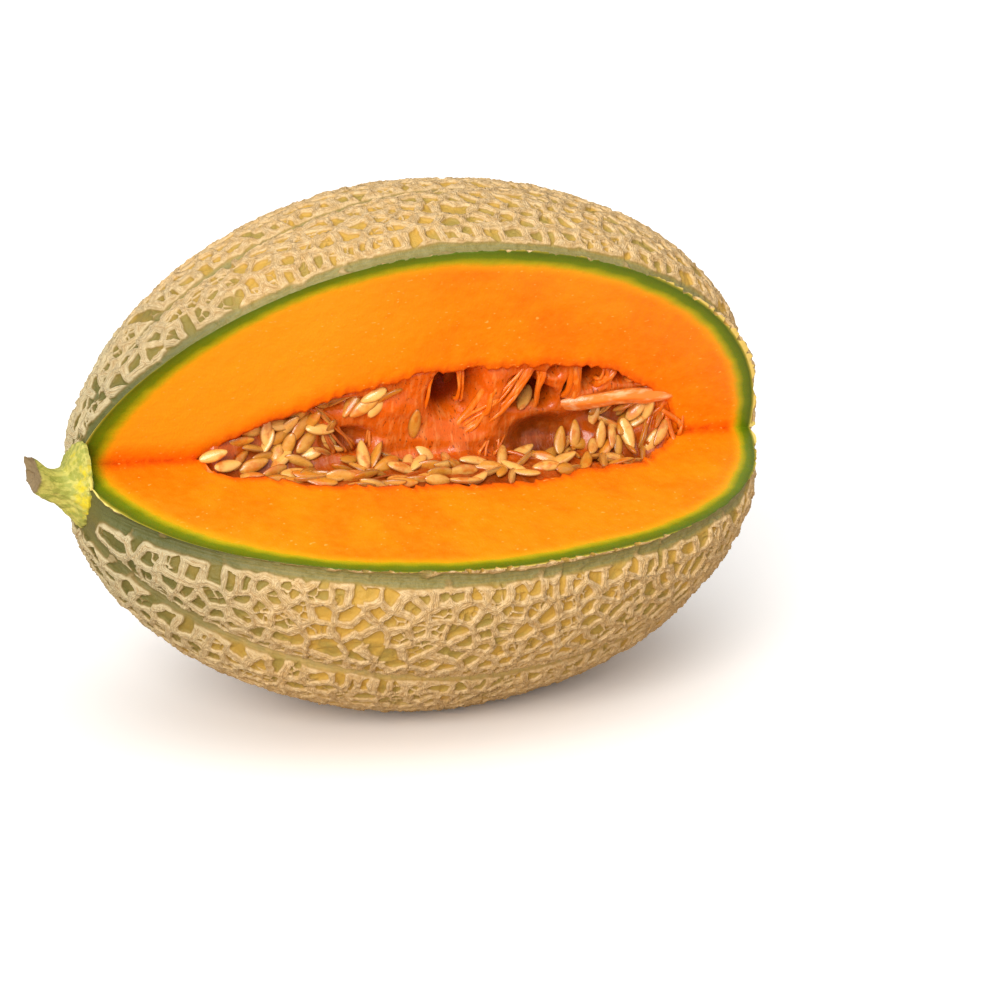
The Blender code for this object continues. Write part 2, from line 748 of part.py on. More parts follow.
def build_string(number, points, radius):
    """A strand of pulp, as a tube through a few points."""
    curve = bpy.data.curves.new(f"string_{number}", "CURVE")
    curve.dimensions = "3D"
    curve.bevel_depth = radius
    curve.bevel_resolution = 0
    curve.use_fill_caps = True
    spline = curve.splines.new("POLY")
    spline.points.add(len(points) - 1)
    for spot, place in zip(spline.points, points):
        spot.co = (*place, 1.0)
    guide = bpy.data.objects.new(f"string_{number}", curve)
    bpy.context.scene.collection.objects.link(guide)
    bpy.context.view_layer.update()
    graph = bpy.context.evaluated_depsgraph_get()
    mesh = bpy.data.meshes.new_from_object(guide.evaluated_get(graph))
    bpy.data.objects.remove(guide)
    tube = bpy.data.objects.new(f"string_{number}", mesh)
    bpy.context.scene.collection.objects.link(tube)
    bm = bmesh.new()
    bm.from_mesh(mesh)
    bmesh.ops.remove_doubles(bm, verts=bm.verts, dist=1e-6)
    bmesh.ops.recalc_face_normals(bm, faces=bm.faces)
    bm.to_mesh(mesh)
    bm.free()
    return tube


def arched(start, end, rise):
    """Points along a shallow arch between two places."""
    shares = [i / STRING_STEPS for i in range(STRING_STEPS + 1)]
    return [start.lerp(end, share) + rise * math.sin(math.pi * share) for share in shares]


def build_strings(rng):
    """Strands that hang across the pocket, and one thick fold along it, all rooted in the pulp."""
    made = []
    for number in range(STRING_COUNT):
        x = POCKET_CENTRE[0] + POCKET_RADII[0] * (1.7 * number / (STRING_COUNT - 1) - 0.85)
        x += rng.uniform(-0.002, 0.002)
        top, top_facing = hollow_target(x, STRING_TOP_SHARE)
        foot, foot_facing = hollow_target(x + rng.uniform(-0.010, 0.010), STRING_FOOT_SHARE)
        top -= top_facing * STRING_ROOT
        foot -= foot_facing * STRING_ROOT
        sag = Vector((rng.uniform(-0.003, 0.003), 0.0035, -0.0010)) * rng.uniform(0.6, 1.6)
        made.append(build_string(number, arched(top, foot, sag), STRING_RADIUS * rng.uniform(0.8, 1.3)))
    start, start_facing = hollow_target(FLAP_START, FLAP_START_SHARE)
    end, end_facing = hollow_target(FLAP_END, FLAP_END_SHARE)
    bulge = (start_facing + end_facing) * FLAP_BULGE
    fold = arched(start - start_facing * FLAP_ROOT, end - end_facing * FLAP_ROOT, bulge)
    made.append(build_string(STRING_COUNT, fold, FLAP_RADIUS))
    return made


def ellipsoid(name, centre, radii, subdivisions=2):
    bm = bmesh.new()
    bmesh.ops.create_icosphere(bm, subdivisions=subdivisions, radius=1.0)
    for vert in bm.verts:
        vert.co = Vector(v * r for v, r in zip(vert.co, radii)) + Vector(centre)
    mesh = bpy.data.meshes.new(name)
    bm.to_mesh(mesh)
    bm.free()
    made = bpy.data.objects.new(name, mesh)
    bpy.context.scene.collection.objects.link(made)
    return made


def build_seed_pulp(rng):
    """The soft pulp that fills the cavity, with the seeds and strings that stand out of it."""
    core = cavity_shape("seed_pulp", CORE_INSET)
    core.data.materials.append(material("pulp", (0.86, 0.27, 0.05), 0.35))
    opening = swept_solid("hollow_cutter", hollow_section, -HALF_LENGTH, HALF_LENGTH)
    pocket = ellipsoid("pocket_cutter", POCKET_CENTRE, POCKET_RADII)
    for cutter in (opening, pocket):
        boolean(core, cutter, "DIFFERENCE")
    apply_modifiers(core)
    for cutter in (opening, pocket):
        bpy.data.objects.remove(cutter)

    seed_color = material("seed", (0.80, 0.52, 0.22), 0.30)
    repeats = bpy.data.collections.new("pulp_repeats")
    bpy.context.scene.collection.children.link(repeats)
    surface = BVHTree.FromPolygons(
        [v.co for v in core.data.vertices], [tuple(p.vertices) for p in core.data.polygons]
    )
    pieces = [build_seed(number, *place) for number, place in enumerate(seed_places(rng, surface))]
    for seed in pieces:
        seed.data.materials.append(seed_color)
    strings = build_strings(rng)
    for string in strings:
        string.data.materials.append(bpy.data.materials["pulp"])
    for piece in (*pieces, *strings):
        bpy.context.scene.collection.objects.unlink(piece)
        repeats.objects.link(piece)
    union = core.modifiers.new("union", "BOOLEAN")
    union.operation = "UNION"
    union.operand_type = "COLLECTION"
    union.collection = repeats
    union.solver = "MANIFOLD"
    union.material_mode = "TRANSFER"
    apply_modifiers(core)
    keep_main_body(core)
    smooth(core)
    for piece in list(repeats.objects):
        bpy.data.objects.remove(piece)
    bpy.data.collections.remove(repeats)
    return core


def main():
    clear_scene()
    rng = random.Random(RANDOM_SEED)
    pose = bpy.data.objects.new("melon_pose", None)
    bpy.context.scene.collection.objects.link(pose)
    fruit = build_fruit(rng)
    parts = [fruit, build_stem(), build_seed_pulp(rng)]
    helpers = [obj for obj in bpy.data.objects if obj.hide_render]
    for obj in parts + helpers:
        obj.parent = pose
    pose.location = (-SPOT_X, -SPOT_Y, HALF_WIDTH - SPOT_DEPTH)
    ground = ground_cutter(0.0)
    boolean(fruit, ground, "DIFFERENCE")


main()
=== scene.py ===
"""The looks of a netted cantaloupe melon that lies on its side with one wedge cut out of it.

Lengths are metres. The pieces are made in the melon's own space: its long axis is X, with the
stem at -X and the blossom end at +X, and angles round that axis are degrees from the front
(-Y), rising over the top (+Z). MELON_PLACE then sets them down in the frame's space.
"""

from __future__ import annotations

import logging
import math
from dataclasses import dataclass, field
from enum import Enum

import bmesh
import bpy
import numpy as np
from mathutils import Matrix, Vector
from mathutils.bvhtree import BVHTree
from mathutils.kdtree import KDTree


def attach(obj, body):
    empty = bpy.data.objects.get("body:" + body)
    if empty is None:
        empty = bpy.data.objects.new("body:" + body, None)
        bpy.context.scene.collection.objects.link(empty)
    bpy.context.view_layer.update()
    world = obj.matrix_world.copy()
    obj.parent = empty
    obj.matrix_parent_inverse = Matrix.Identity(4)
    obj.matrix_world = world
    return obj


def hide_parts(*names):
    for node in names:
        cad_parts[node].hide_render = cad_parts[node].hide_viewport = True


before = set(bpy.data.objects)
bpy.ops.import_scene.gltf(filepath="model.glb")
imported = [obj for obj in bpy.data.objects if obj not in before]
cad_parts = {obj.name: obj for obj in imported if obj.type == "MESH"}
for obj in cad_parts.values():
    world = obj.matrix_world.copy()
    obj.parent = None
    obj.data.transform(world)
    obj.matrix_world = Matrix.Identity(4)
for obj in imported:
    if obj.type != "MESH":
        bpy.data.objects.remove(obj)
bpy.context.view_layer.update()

MM = 0.001
MELON_PLACE = Vector((-0.003, -0.0095, 0.0776))  # the middle of the fruit, in the frame's space
BODY = "root"
SLANTWISE = np.array([0.31, 0.2, 0.93])  # a way that no string of the pulp runs
NO_TRIANGLES = np.zeros((0, 3), int)
SMALLEST_FACE = 1e-11  # square metres

Array = np.ndarray
Node, Socket = bpy.types.Node, bpy.types.NodeSocket
Material, Piece = bpy.types.Material, bpy.types.Object
Pair = tuple[float, float]
Color = tuple[float, float, float]

log = logging.getLogger("melon")


class Slot(Enum):
    """The record's material slots."""

    RIND = "rind"
    FLESH = "flesh"
    PULP = "pulp"
    SEED = "seed"
    STEM = "stem"


class CutSide(Enum):
    """The two faces that the knife left."""

    UPPER = "upper"
    LOWER = "lower"


# Numbers and noise


def smoothstep(low: float, high: float, value: Array) -> Array:
    """A soft step from 0, at the low value, to 1, at the high one."""
    share = np.clip((np.asarray(value, float) - low) / (high - low), 0.0, 1.0)
    return share * share * (3.0 - 2.0 * share)


def heading(degrees: Array) -> Array:
    """The unit vectors out from the axis at some angles, which rise from the front over the top."""
    turn = np.radians(np.asarray(degrees, float))
    return np.stack([np.zeros_like(turn), -np.cos(turn), np.sin(turn)], axis=-1)


def full_turn(sides: int) -> Array:
    """The angles of the sides of a ring, in radians."""
    return 2.0 * math.pi * np.arange(sides) / sides


def angle_of(points: Array) -> Array:
    """The angles round the axis at which some points lie, in degrees."""
    return np.degrees(np.arctan2(points[..., 2], -points[..., 1]))


def mixed(first: Array, second: Array, share: Array) -> Array:
    """Points between two sets of points, with one share of the second set for each."""
    return first + (second - first) * np.asarray(share)[..., None]


def reach_round(off: Array, way: Array, radius: Array) -> tuple[Array, Array]:
    """How far off the wall of a round hole is.

    Args:
        off: Where one starts, from the hole's middle, square to its axis.
        way: The way one goes, as unit vectors.
        radius: The hole's radius.

    Returns:
        The distances, and how far the starts lie inside, as squares that are negative outside.
    """
    along = (off * way).sum(axis=-1)
    inside = radius**2 - (off**2).sum(axis=-1)
    return -along + np.sqrt(np.maximum(along**2 + inside, 0.0)), inside


class Noise:
    """Smooth random values in space, the same at each run."""

    SIDE = 64

    def __init__(self, seed: int) -> None:
        """Fills the lattice with the pattern of that number."""
        maker = np.random.default_rng(seed)
        self.lattice = maker.uniform(-1.0, 1.0, (self.SIDE,) * 3).astype(np.float32)

    def at(self, points: Array, length: float) -> Array:
        """One layer of noise.

        Args:
            points: Where to read it, in metres.
            length: The size of its lumps, in metres.

        Returns:
            Values from -1 to 1.
        """
        place = points / length
        low = np.floor(place).astype(np.int64)
        share = place - low
        share = share * share * (3.0 - 2.0 * share)
        low %= self.SIDE
        high = (low + 1) % self.SIDE
        value = np.zeros(points.shape[:-1])
        for corner in range(8):
            picks, weight = [], 1.0
            for axis in range(3):
                upper = (corner >> axis) & 1
                picks.append((high if upper else low)[..., axis])
                weight = weight * (share[..., axis] if upper else 1.0 - share[..., axis])
            value += weight * self.lattice[tuple(picks)]
        return value

    def layered(self, points: Array, length: float, layers: int = 3) -> Array:
        """Several layers of noise, each half the size and half the strength of the last.

        Args:
            points: Where to read it, in metres.
            length: The size of the largest lumps, in metres.
            layers: How many layers.

        Returns:
            Values from about -1 to 1.
        """
        value = np.zeros(points.shape[:-1])
        for layer in range(layers):
            value += self.at(points + 0.037 * layer, length / 2**layer) / 2**layer
        return value / (2.0 - 0.5 ** (layers - 1))

    def push(self, points: Array, length: float, reach: float) -> Array:
        """Moves points in all three directions, by noise of one size and up to one reach."""
        moves = [self.at(points + 0.211 * (axis + 1), length) for axis in range(3)]
        return points + reach * np.stack(moves, axis=-1)


# The fruit's form


@dataclass(frozen=True)
class MelonForm:
    """The measured form of the fruit, its cuts and its cavity. The solids use the same values."""

    half_length: float = 0.1104
    half_width: float = 0.0798
    stem_end_power: float = 1.85
    blossom_end_power: float = 2.25
    seams: tuple[float, ...] = (22.0, 60.9, 89.0, 126.0, 164.0, 203.0, 241.0, 281.0, 313.0, 345.0)
    bent_seam: int = 1
    bent_slope: float = -90.0
    bent_bow: float = -750.0
    seam_swell: float = 0.0016
    seam_depth: float = 0.0016
    seam_width: float = 0.0042
    rib_end_radius: float = 0.036
    seam_fade: float = 0.45
    pole_y: float = 0.009
    pole_z: float = 0.003
    upper_cut: float = 64.5
    upper_cut_bend: float = -3.8
    lower_cut: float = -15.5
    lower_cut_bend: float = -4.2
    cut_line_y: float = -0.0093
    cut_line_slant: float = -0.0144
    cut_line_z: float = 0.0022
    cut_line_tilt: float = -0.0048
    cut_exit: float = 20.0
    cut_exit_radii: Pair = (0.013, 0.0085)
    cavity_start: float = -0.078
    cavity_end: float = 0.09
    cavity_girth: float = 0.033
    cavity_middle: Pair = (-0.003, 0.003)
    cavity_lobes: float = 0.04
    cavity_waves: float = 0.03
    cavity_wave_length: float = 0.0075
    pulp_recess: float = 0.0016
    pulp_hollow: float = 0.012
    edge_rounds: int = 6

    def radius(self, x: Array) -> Array:
        """The smooth fruit's radius.

        Args:
            x: Places along the axis.

        Returns:
            The radius at each.
        """
        share = np.clip(np.abs(x) / self.half_length, 0.0, 1.0)
        power = np.where(np.asarray(x) < 0.0, self.stem_end_power, self.blossom_end_power)
        return self.half_width * (1.0 - share**power) ** (1.0 / power)

    def smooth_skin(self, x: Array, degrees: Array) -> Array:
        """Points of the fruit's skin without its ribs.

        Args:
            x: Places along the axis.
            degrees: Angles round it.

        Returns:
            The points.
        """
        points = heading(degrees) * self.radius(x)[..., None]
        points[..., 0] = x
        return points

    def outward(self, points: Array) -> Array:
        """The way the skin faces at some points, as unit vectors."""
        normal = points / np.array([self.half_length, self.half_width, self.half_width]) ** 2
        return normal / np.linalg.norm(normal, axis=-1, keepdims=True)

    def seam_angle(self, number: int, x: Array) -> Array:
        """One seam's angle at places along the axis. The seam beside the upper cut runs in a bow."""
        bow = self.bent_slope * x + self.bent_bow * x * x
        return self.seams[number] + (bow if number == self.bent_seam else 0.0 * x)

    def seam_middle(self, x: Array) -> Array:
        """The line that the seams lie round, which bends to the stem, at places along the axis."""
        share = np.maximum(-x / self.half_length, 0.0) ** 2
        return np.stack([x, self.pole_y * share, self.pole_z * share], axis=-1)

    def seam_reach(self, x: Array, points: Array) -> tuple[Array, ...]:
        """How points of the skin lie between the seams.

        Args:
            x: Their places along the axis.
            points: The points.

        Returns:
            The distance to the nearest seam, the share of the rib's half width that it is, and
            the number of that seam.
        """
        angle = angle_of(points - self.seam_middle(x))
        seams = [self.seam_angle(number, x) for number in range(len(self.seams))]
        gaps = np.stack([(angle - seam + 180.0) % 360.0 - 180.0 for seam in seams])
        ahead = np.where(gaps <= 0.0, -gaps, 360.0).min(axis=0)
        behind = np.where(gaps > 0.0, gaps, 360.0).min(axis=0)
        nearest = np.minimum(ahead, behind)
        number = np.abs(gaps).argmin(axis=0)
        distance = np.radians(nearest) * self.radius(x)
        return distance, 2.0 * nearest / (ahead + behind), number

    def ribs(self, x: Array, distance: Array, share: Array) -> Array:
        """How deep the skin lies under the smooth form, because of ribs and seams.

        Args:
            x: Places along the axis.
            distance: The distance to the nearest seam.
            share: The share of the rib's half width that it is.

        Returns:
            Depths in metres.
        """
        ends = np.minimum(1.0, self.radius(x) / self.rib_end_radius)
        fade = ends * (1.0 + (self.seam_fade - 1.0) * (0.5 + 0.5 * x / self.half_length))
        swell = self.seam_swell * (1.0 - np.sin(0.5 * math.pi * share))
        groove = self.seam_depth * np.exp(-((distance / self.seam_width) ** 2))
        return fade * (swell + groove)

    def cut_corner(self, x: Array) -> Array:
        """Where the two cut faces meet. That line leaves the fruit in front of the stem's foot.

        Args:
            x: Places along the axis.

        Returns:
            The corner's point at each.
        """
        x = np.asarray(x, float)
        share = x / self.half_length
        across = self.cut_line_y + self.cut_line_slant * share
        straight = np.stack([x, across, self.cut_line_z + self.cut_line_tilt * share], axis=-1)
        leaving = self.smooth_skin(x, np.full(x.shape, self.cut_exit))
        near_tip = smoothstep(*self.cut_exit_radii, self.radius(x)) * (x < 0.0)
        return mixed(straight, leaving, near_tip)

    def cut_degrees(self, x: Array) -> tuple[Array, Array]:
        """The angles of the lower and the upper cut face, at places along the axis."""
        bend = (x / self.half_length) ** 2
        return self.lower_cut + self.lower_cut_bend * bend, self.upper_cut + self.upper_cut_bend * bend

    def past_faces(self, points: Array) -> tuple[Array, Array]:
        """How far points lie in the cut-away room.

        Args:
            points: The points.

        Returns:
            Their height above the lower cut face, and their depth below the upper one.
        """
        lower, upper = self.cut_degrees(points[:, 0])
        off = points - self.cut_corner(points[:, 0])
        above = (off * heading(lower + 90.0)).sum(axis=1)
        return above, (off * heading(upper - 90.0)).sum(axis=1)

    def cut_reach(self, x: Array, degrees: Array) -> Array:
        """How far a cut face reaches from its corner to the smooth skin.

        Args:
            x: Places along the axis.
            degrees: The cut face's angle at each.

        Returns:
            Distances, which are 0 where the corner lies outside the fruit.
        """
        off, way = self.cut_corner(x)[..., 1:], heading(degrees)[..., 1:]
        reach, inside = reach_round(off, way, self.radius(x))
        return np.where(inside > 0.0, reach, 0.0)

    def cavity_radius(self, x: Array, degrees: Array) -> Array:
        """The seed cavity's radius.

        Args:
            x: Places along its axis.
            degrees: Angles round it.

        Returns:
            The radius at each.
        """
        length = self.cavity_end - self.cavity_start
        share = np.clip((np.asarray(x) - self.cavity_start) / length, 0.0, 1.0)
        girth = (1.0 - np.abs(2.0 * share**1.5 - 1.0) ** 2.2) ** 0.6
        lobes = self.cavity_lobes * np.cos(np.radians(3.0 * degrees - 40.0))
        waves = self.cavity_waves * np.sin(x / self.cavity_wave_length + np.radians(2.0 * degrees))
        return self.cavity_girth * girth * (1.0 + lobes + waves)

    def cavity_axis(self, x: Array) -> Array:
        """The middle of the seed cavity at places along the axis."""
        x = np.asarray(x, float)
        return np.stack([x, *(np.full_like(x, place) for place in self.cavity_middle)], axis=-1)

    def cavity_edge(self, x: Array, degrees: Array) -> Array:
        """How far from the corner a cut face leaves the seed cavity.

        Args:
            x: Places along the axis.
            degrees: The cut face's angle at each.

        Returns:
            Distances, which are 0 where the face meets no cavity.
        """
        off, way = self.cut_corner(x) - self.cavity_axis(x), heading(degrees)
        reach = np.zeros_like(off[..., 0])
        for _ in range(self.edge_rounds):
            angle = angle_of(off + way * reach[..., None])
            reach, inside = reach_round(off, way, self.cavity_radius(x, angle))
        reach = np.where(inside > 0.0, np.maximum(reach, 0.0), 0.0)
        left = smoothstep(self.cavity_start + 0.001, self.cavity_start + 0.014, x)
        right = smoothstep(self.cavity_end, self.cavity_end - 0.01, x)
        return reach * np.sqrt(left * right)

    def skin_depth(self, points: Array) -> Array:
        """How deep points lie under the smooth skin.

        Args:
            points: The points.

        Returns:
            Depths in metres.
        """
        power = np.where(points[..., 0] < 0.0, self.stem_end_power, self.blossom_end_power)
        along = np.abs(points[..., 0]) / self.half_length
        out = np.hypot(points[..., 1], points[..., 2]) / self.half_width
        total = np.maximum(along**power + out**power, 1e-9)
        level = total ** (1.0 / power)
        pull = total ** (1.0 / power - 1.0)
        slope = pull * np.hypot(
            along ** (power - 1.0) / self.half_length, out ** (power - 1.0) / self.half_width
        )
        return (1.0 - level) / np.maximum(slope, 1e-6)

    def hollow_target(self, x: Array, share: Array) -> tuple[Array, Array]:
        """A point of the pulp's open face, and the way it faces.

        Args:
            x: Places along the axis.
            share: 0 at the face's lower edge, 1 at its upper one.

        Returns:
            The points and the unit vectors.
        """
        lower, upper = self.cut_degrees(x)
        half = 0.5 * (upper - lower)
        sine, tangent = np.sin(np.radians(half)), np.tan(np.radians(half))
        bisector = heading(0.5 * (upper + lower))
        corner = self.cut_corner(x) - bisector * (self.pulp_recess / sine)[..., None]
        centre = corner + bisector * (self.pulp_hollow / sine)[..., None]
        s = 2.0 * share - 1.0
        round_angle = 0.5 * (lower + upper) + 180.0 - 2.0 * (90.0 - half) * s
        in_round = centre + heading(round_angle) * self.pulp_hollow
        side = np.where(s > 0.0, upper, lower)
        near = self.pulp_hollow / tangent
        reach = self.cavity_radius(x, side)
        reach = reach - ((corner - self.cavity_axis(x)) * heading(side)).sum(axis=-1)
        far = np.maximum(reach, near)
        on_side = corner + heading(side) * (near + (far - near) * (2.0 * np.abs(s) - 1.0))[..., None]
        facing_side = heading(np.where(s > 0.0, side - 90.0, side + 90.0))
        middle = (np.abs(s) < 0.5)[..., None]
        points = np.where(middle, in_round, on_side)
        facing = np.where(middle, heading(round_angle + 180.0), facing_side)
        return points, facing


# Meshes


def mark(mesh: bpy.types.Mesh, values: dict[str, Array]) -> None:
    """Writes named values into a mesh, for its material to read.

    Args:
        mesh: The mesh.
        values: The values, one for each vertex.
    """
    for name, value in values.items():
        layer = mesh.attributes.new(name, "FLOAT", "POINT")
        layer.data.foreach_set("value", np.asarray(value, np.float32).ravel())


def make_piece(
    name: str,
    points: Array,
    faces: list[Array],
    values: dict[str, Array] | None = None,
) -> Piece:
    """Makes a smooth mesh object in the melon's space, and sets it down in its place.

    Args:
        name: The piece's name.
        points: Its vertices.
        faces: Arrays of faces, each with one number of corners.
        values: Named values, one for each vertex, for the materials to read.

    Returns:
        The object.
    """
    mesh = bpy.data.meshes.new(name)
    mesh.vertices.add(len(points))
    mesh.vertices.foreach_set("co", np.ascontiguousarray(points, np.float32).ravel())
    corners = np.concatenate([f.ravel() for f in faces]).astype(np.int32)
    counts = np.concatenate([np.full(len(f), f.shape[1]) for f in faces]).astype(np.int32)
    mesh.loops.add(len(corners))
    mesh.loops.foreach_set("vertex_index", corners)
    mesh.polygons.add(len(counts))
    starts = np.concatenate([[0], np.cumsum(counts)[:-1]]).astype(np.int32)
    mesh.polygons.foreach_set("loop_start", starts)
    mesh.polygons.foreach_set("loop_total", counts)
    mesh.update(calc_edges=True)
    mesh.validate()
    mark(mesh, values or {})
    mesh.shade_smooth()
    made = bpy.data.objects.new(name, mesh)
    bpy.context.scene.collection.objects.link(made)
    made.location = MELON_PLACE
    return made


def grid_faces(index: Array) -> Array:
    """The quads of a grid, without those that have a corner twice.

    Args:
        index: The grid of vertex numbers.

    Returns:
        The quads.
    """
    quads = np.stack([index[:-1, :-1], index[:-1, 1:], index[1:, 1:], index[1:, :-1]], axis=-1)
    quads = quads.reshape(-1, 4)
    ordered = np.sort(quads, axis=1)
    return quads[(np.diff(ordered, axis=1) > 0).all(axis=1)]


def face_areas(points: Array, quads: Array) -> Array:
    """The areas of some quads."""
    a, b, c, d = (points[quads[:, k]] for k in range(4))
    return 0.5 * np.linalg.norm(np.cross(c - a, d - b), axis=1)


def finish_piece(piece: Piece, material: Material) -> None:
    """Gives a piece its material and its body.

    Args:
        piece: The piece.
        material: Its material.
    """
    piece.data.materials.clear()
    piece.data.materials.append(material)
    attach(piece, BODY)
    log.info("%s: %d faces", piece.name, len(piece.data.polygons))


def capped_rings(rings: Array, tips: Array, start: int = 0) -> tuple[Array, Array, Array]:
    """A skin round rings of points, with a fan of triangles at each end.

    Args:
        rings: The points, ring by ring.
        tips: The points where the first and the last ring's fans meet.
        start: The number of the first vertex.

    Returns:
        The vertices, the quads and the triangles.
    """
    count, sides = rings.shape[:2]
    index = start + np.arange(count * sides).reshape(count, sides)
    quads = grid_faces(np.concatenate([index, index[:, :1]], axis=1))
    tip = start + count * sides
    first = np.stack([np.roll(index[0], -1), index[0], np.full(sides, tip)], axis=-1)
    last = np.stack([index[-1], np.roll(index[-1], -1), np.full(sides, tip + 1)], axis=-1)
    return np.concatenate([rings.reshape(-1, 3), tips]), quads, np.concatenate([first, last])


def tube(path: Array, radii: Array, sides: int, start: int) -> tuple[Array, Array, Array]:
    """A closed tube along a path.

    Args:
        path: The points of its middle.
        radii: Its radius at each.
        sides: How many sides it has.
        start: The number of its first vertex.

    Returns:
        Its vertices, quads and end triangles.
    """
    along = np.gradient(path, axis=0)
    along /= np.maximum(np.linalg.norm(along, axis=1, keepdims=True), 1e-9)
    side = np.cross(along, SLANTWISE)
    side /= np.maximum(np.linalg.norm(side, axis=1, keepdims=True), 1e-9)
    other = np.cross(along, side)
    turn = full_turn(sides)
    ring = np.cos(turn)[None, :, None] * side[:, None] + np.sin(turn)[None, :, None] * other[:, None]
    return capped_rings(path[:, None] + ring * radii[:, None, None], path[[0, -1]], start)


class Bundle:
    """Collects many small forms in one mesh."""

    def __init__(self) -> None:
        """Starts with nothing in it."""
        self.points: list[Array] = []
        self.quads: list[Array] = []
        self.triangles: list[Array] = []
        self.values: dict[str, list[Array]] = {}
        self.count = 0

    def add(self, points: Array, quads: Array, triangles: Array, **values: Array) -> None:
        """Adds one form.

        Args:
            points: Its vertices.
            quads: Its quads, numbered from this bundle's count.
            triangles: Its triangles, numbered the same way.
            values: Named values for its vertices.
        """
        self.points.append(points)
        self.quads.append(quads)
        self.triangles.append(triangles)
        for key, value in values.items():
            self.values.setdefault(key, []).append(np.broadcast_to(value, (len(points),)))
        self.count += len(points)

    def piece(self, name: str) -> Piece:
        """Makes one piece of all the forms.

        Args:
            name: The piece's name.

        Returns:
            The object.
        """
        values = {key: np.concatenate(value) for key, value in self.values.items()}
        faces = [f for f in (np.concatenate(self.quads), np.concatenate(self.triangles)) if len(f)]
        return make_piece(name, np.concatenate(self.points), faces, values)


# Material building


class Nodes:
    """Builds one node tree."""

    NOISE_ROUGHNESS = 0.55
    MIX_SOCKETS = (0, 6, 7)
    MIX_COLOR = 2

    def __init__(self, tree: bpy.types.NodeTree) -> None:
        """Keeps the tree."""
        self.tree = tree

    def add(self, kind: str, **inputs: object) -> Node:
        """Adds a node.

        Args:
            kind: The node's type, without its prefix.
            inputs: Values or sockets for its inputs.

        Returns:
            The node.
        """
        node = self.tree.nodes.new("ShaderNode" + kind)
        self.give(node, **inputs)
        return node

    def give(self, node: Node, **inputs: object) -> None:
        """Feeds a node's inputs. An input's name has _ for its spaces."""
        for name, value in inputs.items():
            self.feed(node.inputs[name.replace("_", " ")], value)

    def feed(self, socket: Socket, value: object) -> None:
        """Gives an input what it takes.

        Args:
            socket: The input.
            value: A socket to link to it, or a number or colour for it.
        """
        if isinstance(value, Socket):
            self.tree.links.new(value, socket)
        elif isinstance(value, tuple) and len(value) == 3 and socket.type == "RGBA":
            socket.default_value = (*value, 1.0)
        else:
            socket.default_value = value

    def value(self, name: str) -> Socket:
        """A value that the mesh carries.

        Args:
            name: The value's name.

        Returns:
            The value.
        """
        node = self.add("Attribute")
        node.attribute_name = name
        return node.outputs["Fac"]

    def place(self) -> Socket:
        """The place in the melon's own space."""
        return self.add("TexCoord").outputs["Object"]

    def stretched(self, scale: Color) -> Socket:
        """The place in the melon's own space, with each axis scaled."""
        node = self.add("Mapping", Vector=self.place(), Scale=scale)
        return node.outputs["Vector"]

    def noise(self, size: float, detail: float = 3.0, where: Socket | None = None) -> Socket:
        """Noise of about 0.5, with lumps of a size in metres and some finer layers."""
        inputs = {"Vector": where or self.place(), "Scale": 1.0 / size, "Detail": detail}
        return self.add("TexNoise", **inputs, Roughness=self.NOISE_ROUGHNESS).outputs["Fac"]

    def math(self, operation: str, first: object, second: object, clamp: bool = False) -> Socket:
        """One step on two values.

        Args:
            operation: What is done with them, in the node's own words.
            first: The first value.
            second: The second value.
            clamp: Whether the outcome stays between 0 and 1.

        Returns:
            The outcome.
        """
        node = self.tree.nodes.new("ShaderNodeMath")
        node.operation = operation
        node.use_clamp = clamp
        self.feed(node.inputs[0], first)
        self.feed(node.inputs[1], second)
        return node.outputs[0]

    def times(self, first: object, second: object) -> Socket:
        """The product of two values."""
        return self.math("MULTIPLY", first, second)

    def plus(self, first: object, second: object) -> Socket:
        """The sum of two values."""
        return self.math("ADD", first, second)

    def span(
        self, value: object, low: float, high: float, to_low: float = 0.0, to_high: float = 1.0
    ) -> Socket:
        """Maps a stretch of values onto another, softly and without passing its ends.

        Args:
            value: The value.
            low: One end of its stretch.
            high: The other end.
            to_low: What it gives at the one end.
            to_high: What it gives at the other.

        Returns:
            The mapped value.
        """
        node = self.tree.nodes.new("ShaderNodeMapRange")
        node.interpolation_type = "SMOOTHSTEP"
        for number, entry in enumerate((value, low, high, to_low, to_high)):
            self.feed(node.inputs[number], entry)
        return node.outputs[0]

    def mix(self, share: object, first: object, second: object) -> Socket:
        """Mixes two colours.

        Args:
            share: How much there is of the second, from 0 to 1.
            first: The first colour.
            second: The second colour.

        Returns:
            The colour between them.
        """
        node = self.tree.nodes.new("ShaderNodeMix")
        node.data_type = "RGBA"
        for number, entry in zip(self.MIX_SOCKETS, (share, first, second)):
            self.feed(node.inputs[number], entry)
        return node.outputs[self.MIX_COLOR]

    def ramp(self, value: object, stops: list[tuple[float, Color]]) -> Socket:
        """Colours along a value.

        Args:
            value: The value, from 0 to 1.
            stops: Places and colours, in order.

        Returns:
            The colour.
        """
        node = self.tree.nodes.new("ShaderNodeValToRGB")
        ramp = node.color_ramp
        while len(ramp.elements) < len(stops):
            ramp.elements.new(1.0)
        for element, (place, color) in zip(ramp.elements, stops):
            element.position = place
            element.color = (*color, 1.0)
        self.feed(node.inputs[0], value)
        return node.outputs[0]

    def group(self, tree: bpy.types.NodeTree, output: str, **inputs: object) -> Socket:
        """Places a shader node group.

        Args:
            tree: The group.
            output: Which of its outputs is wanted.
            inputs: Values or sockets for its inputs.

        Returns:
            That output.
        """
        node = self.tree.nodes.new("ShaderNodeGroup")
        node.node_tree = tree
        self.give(node, **inputs)
        return node.outputs[output]

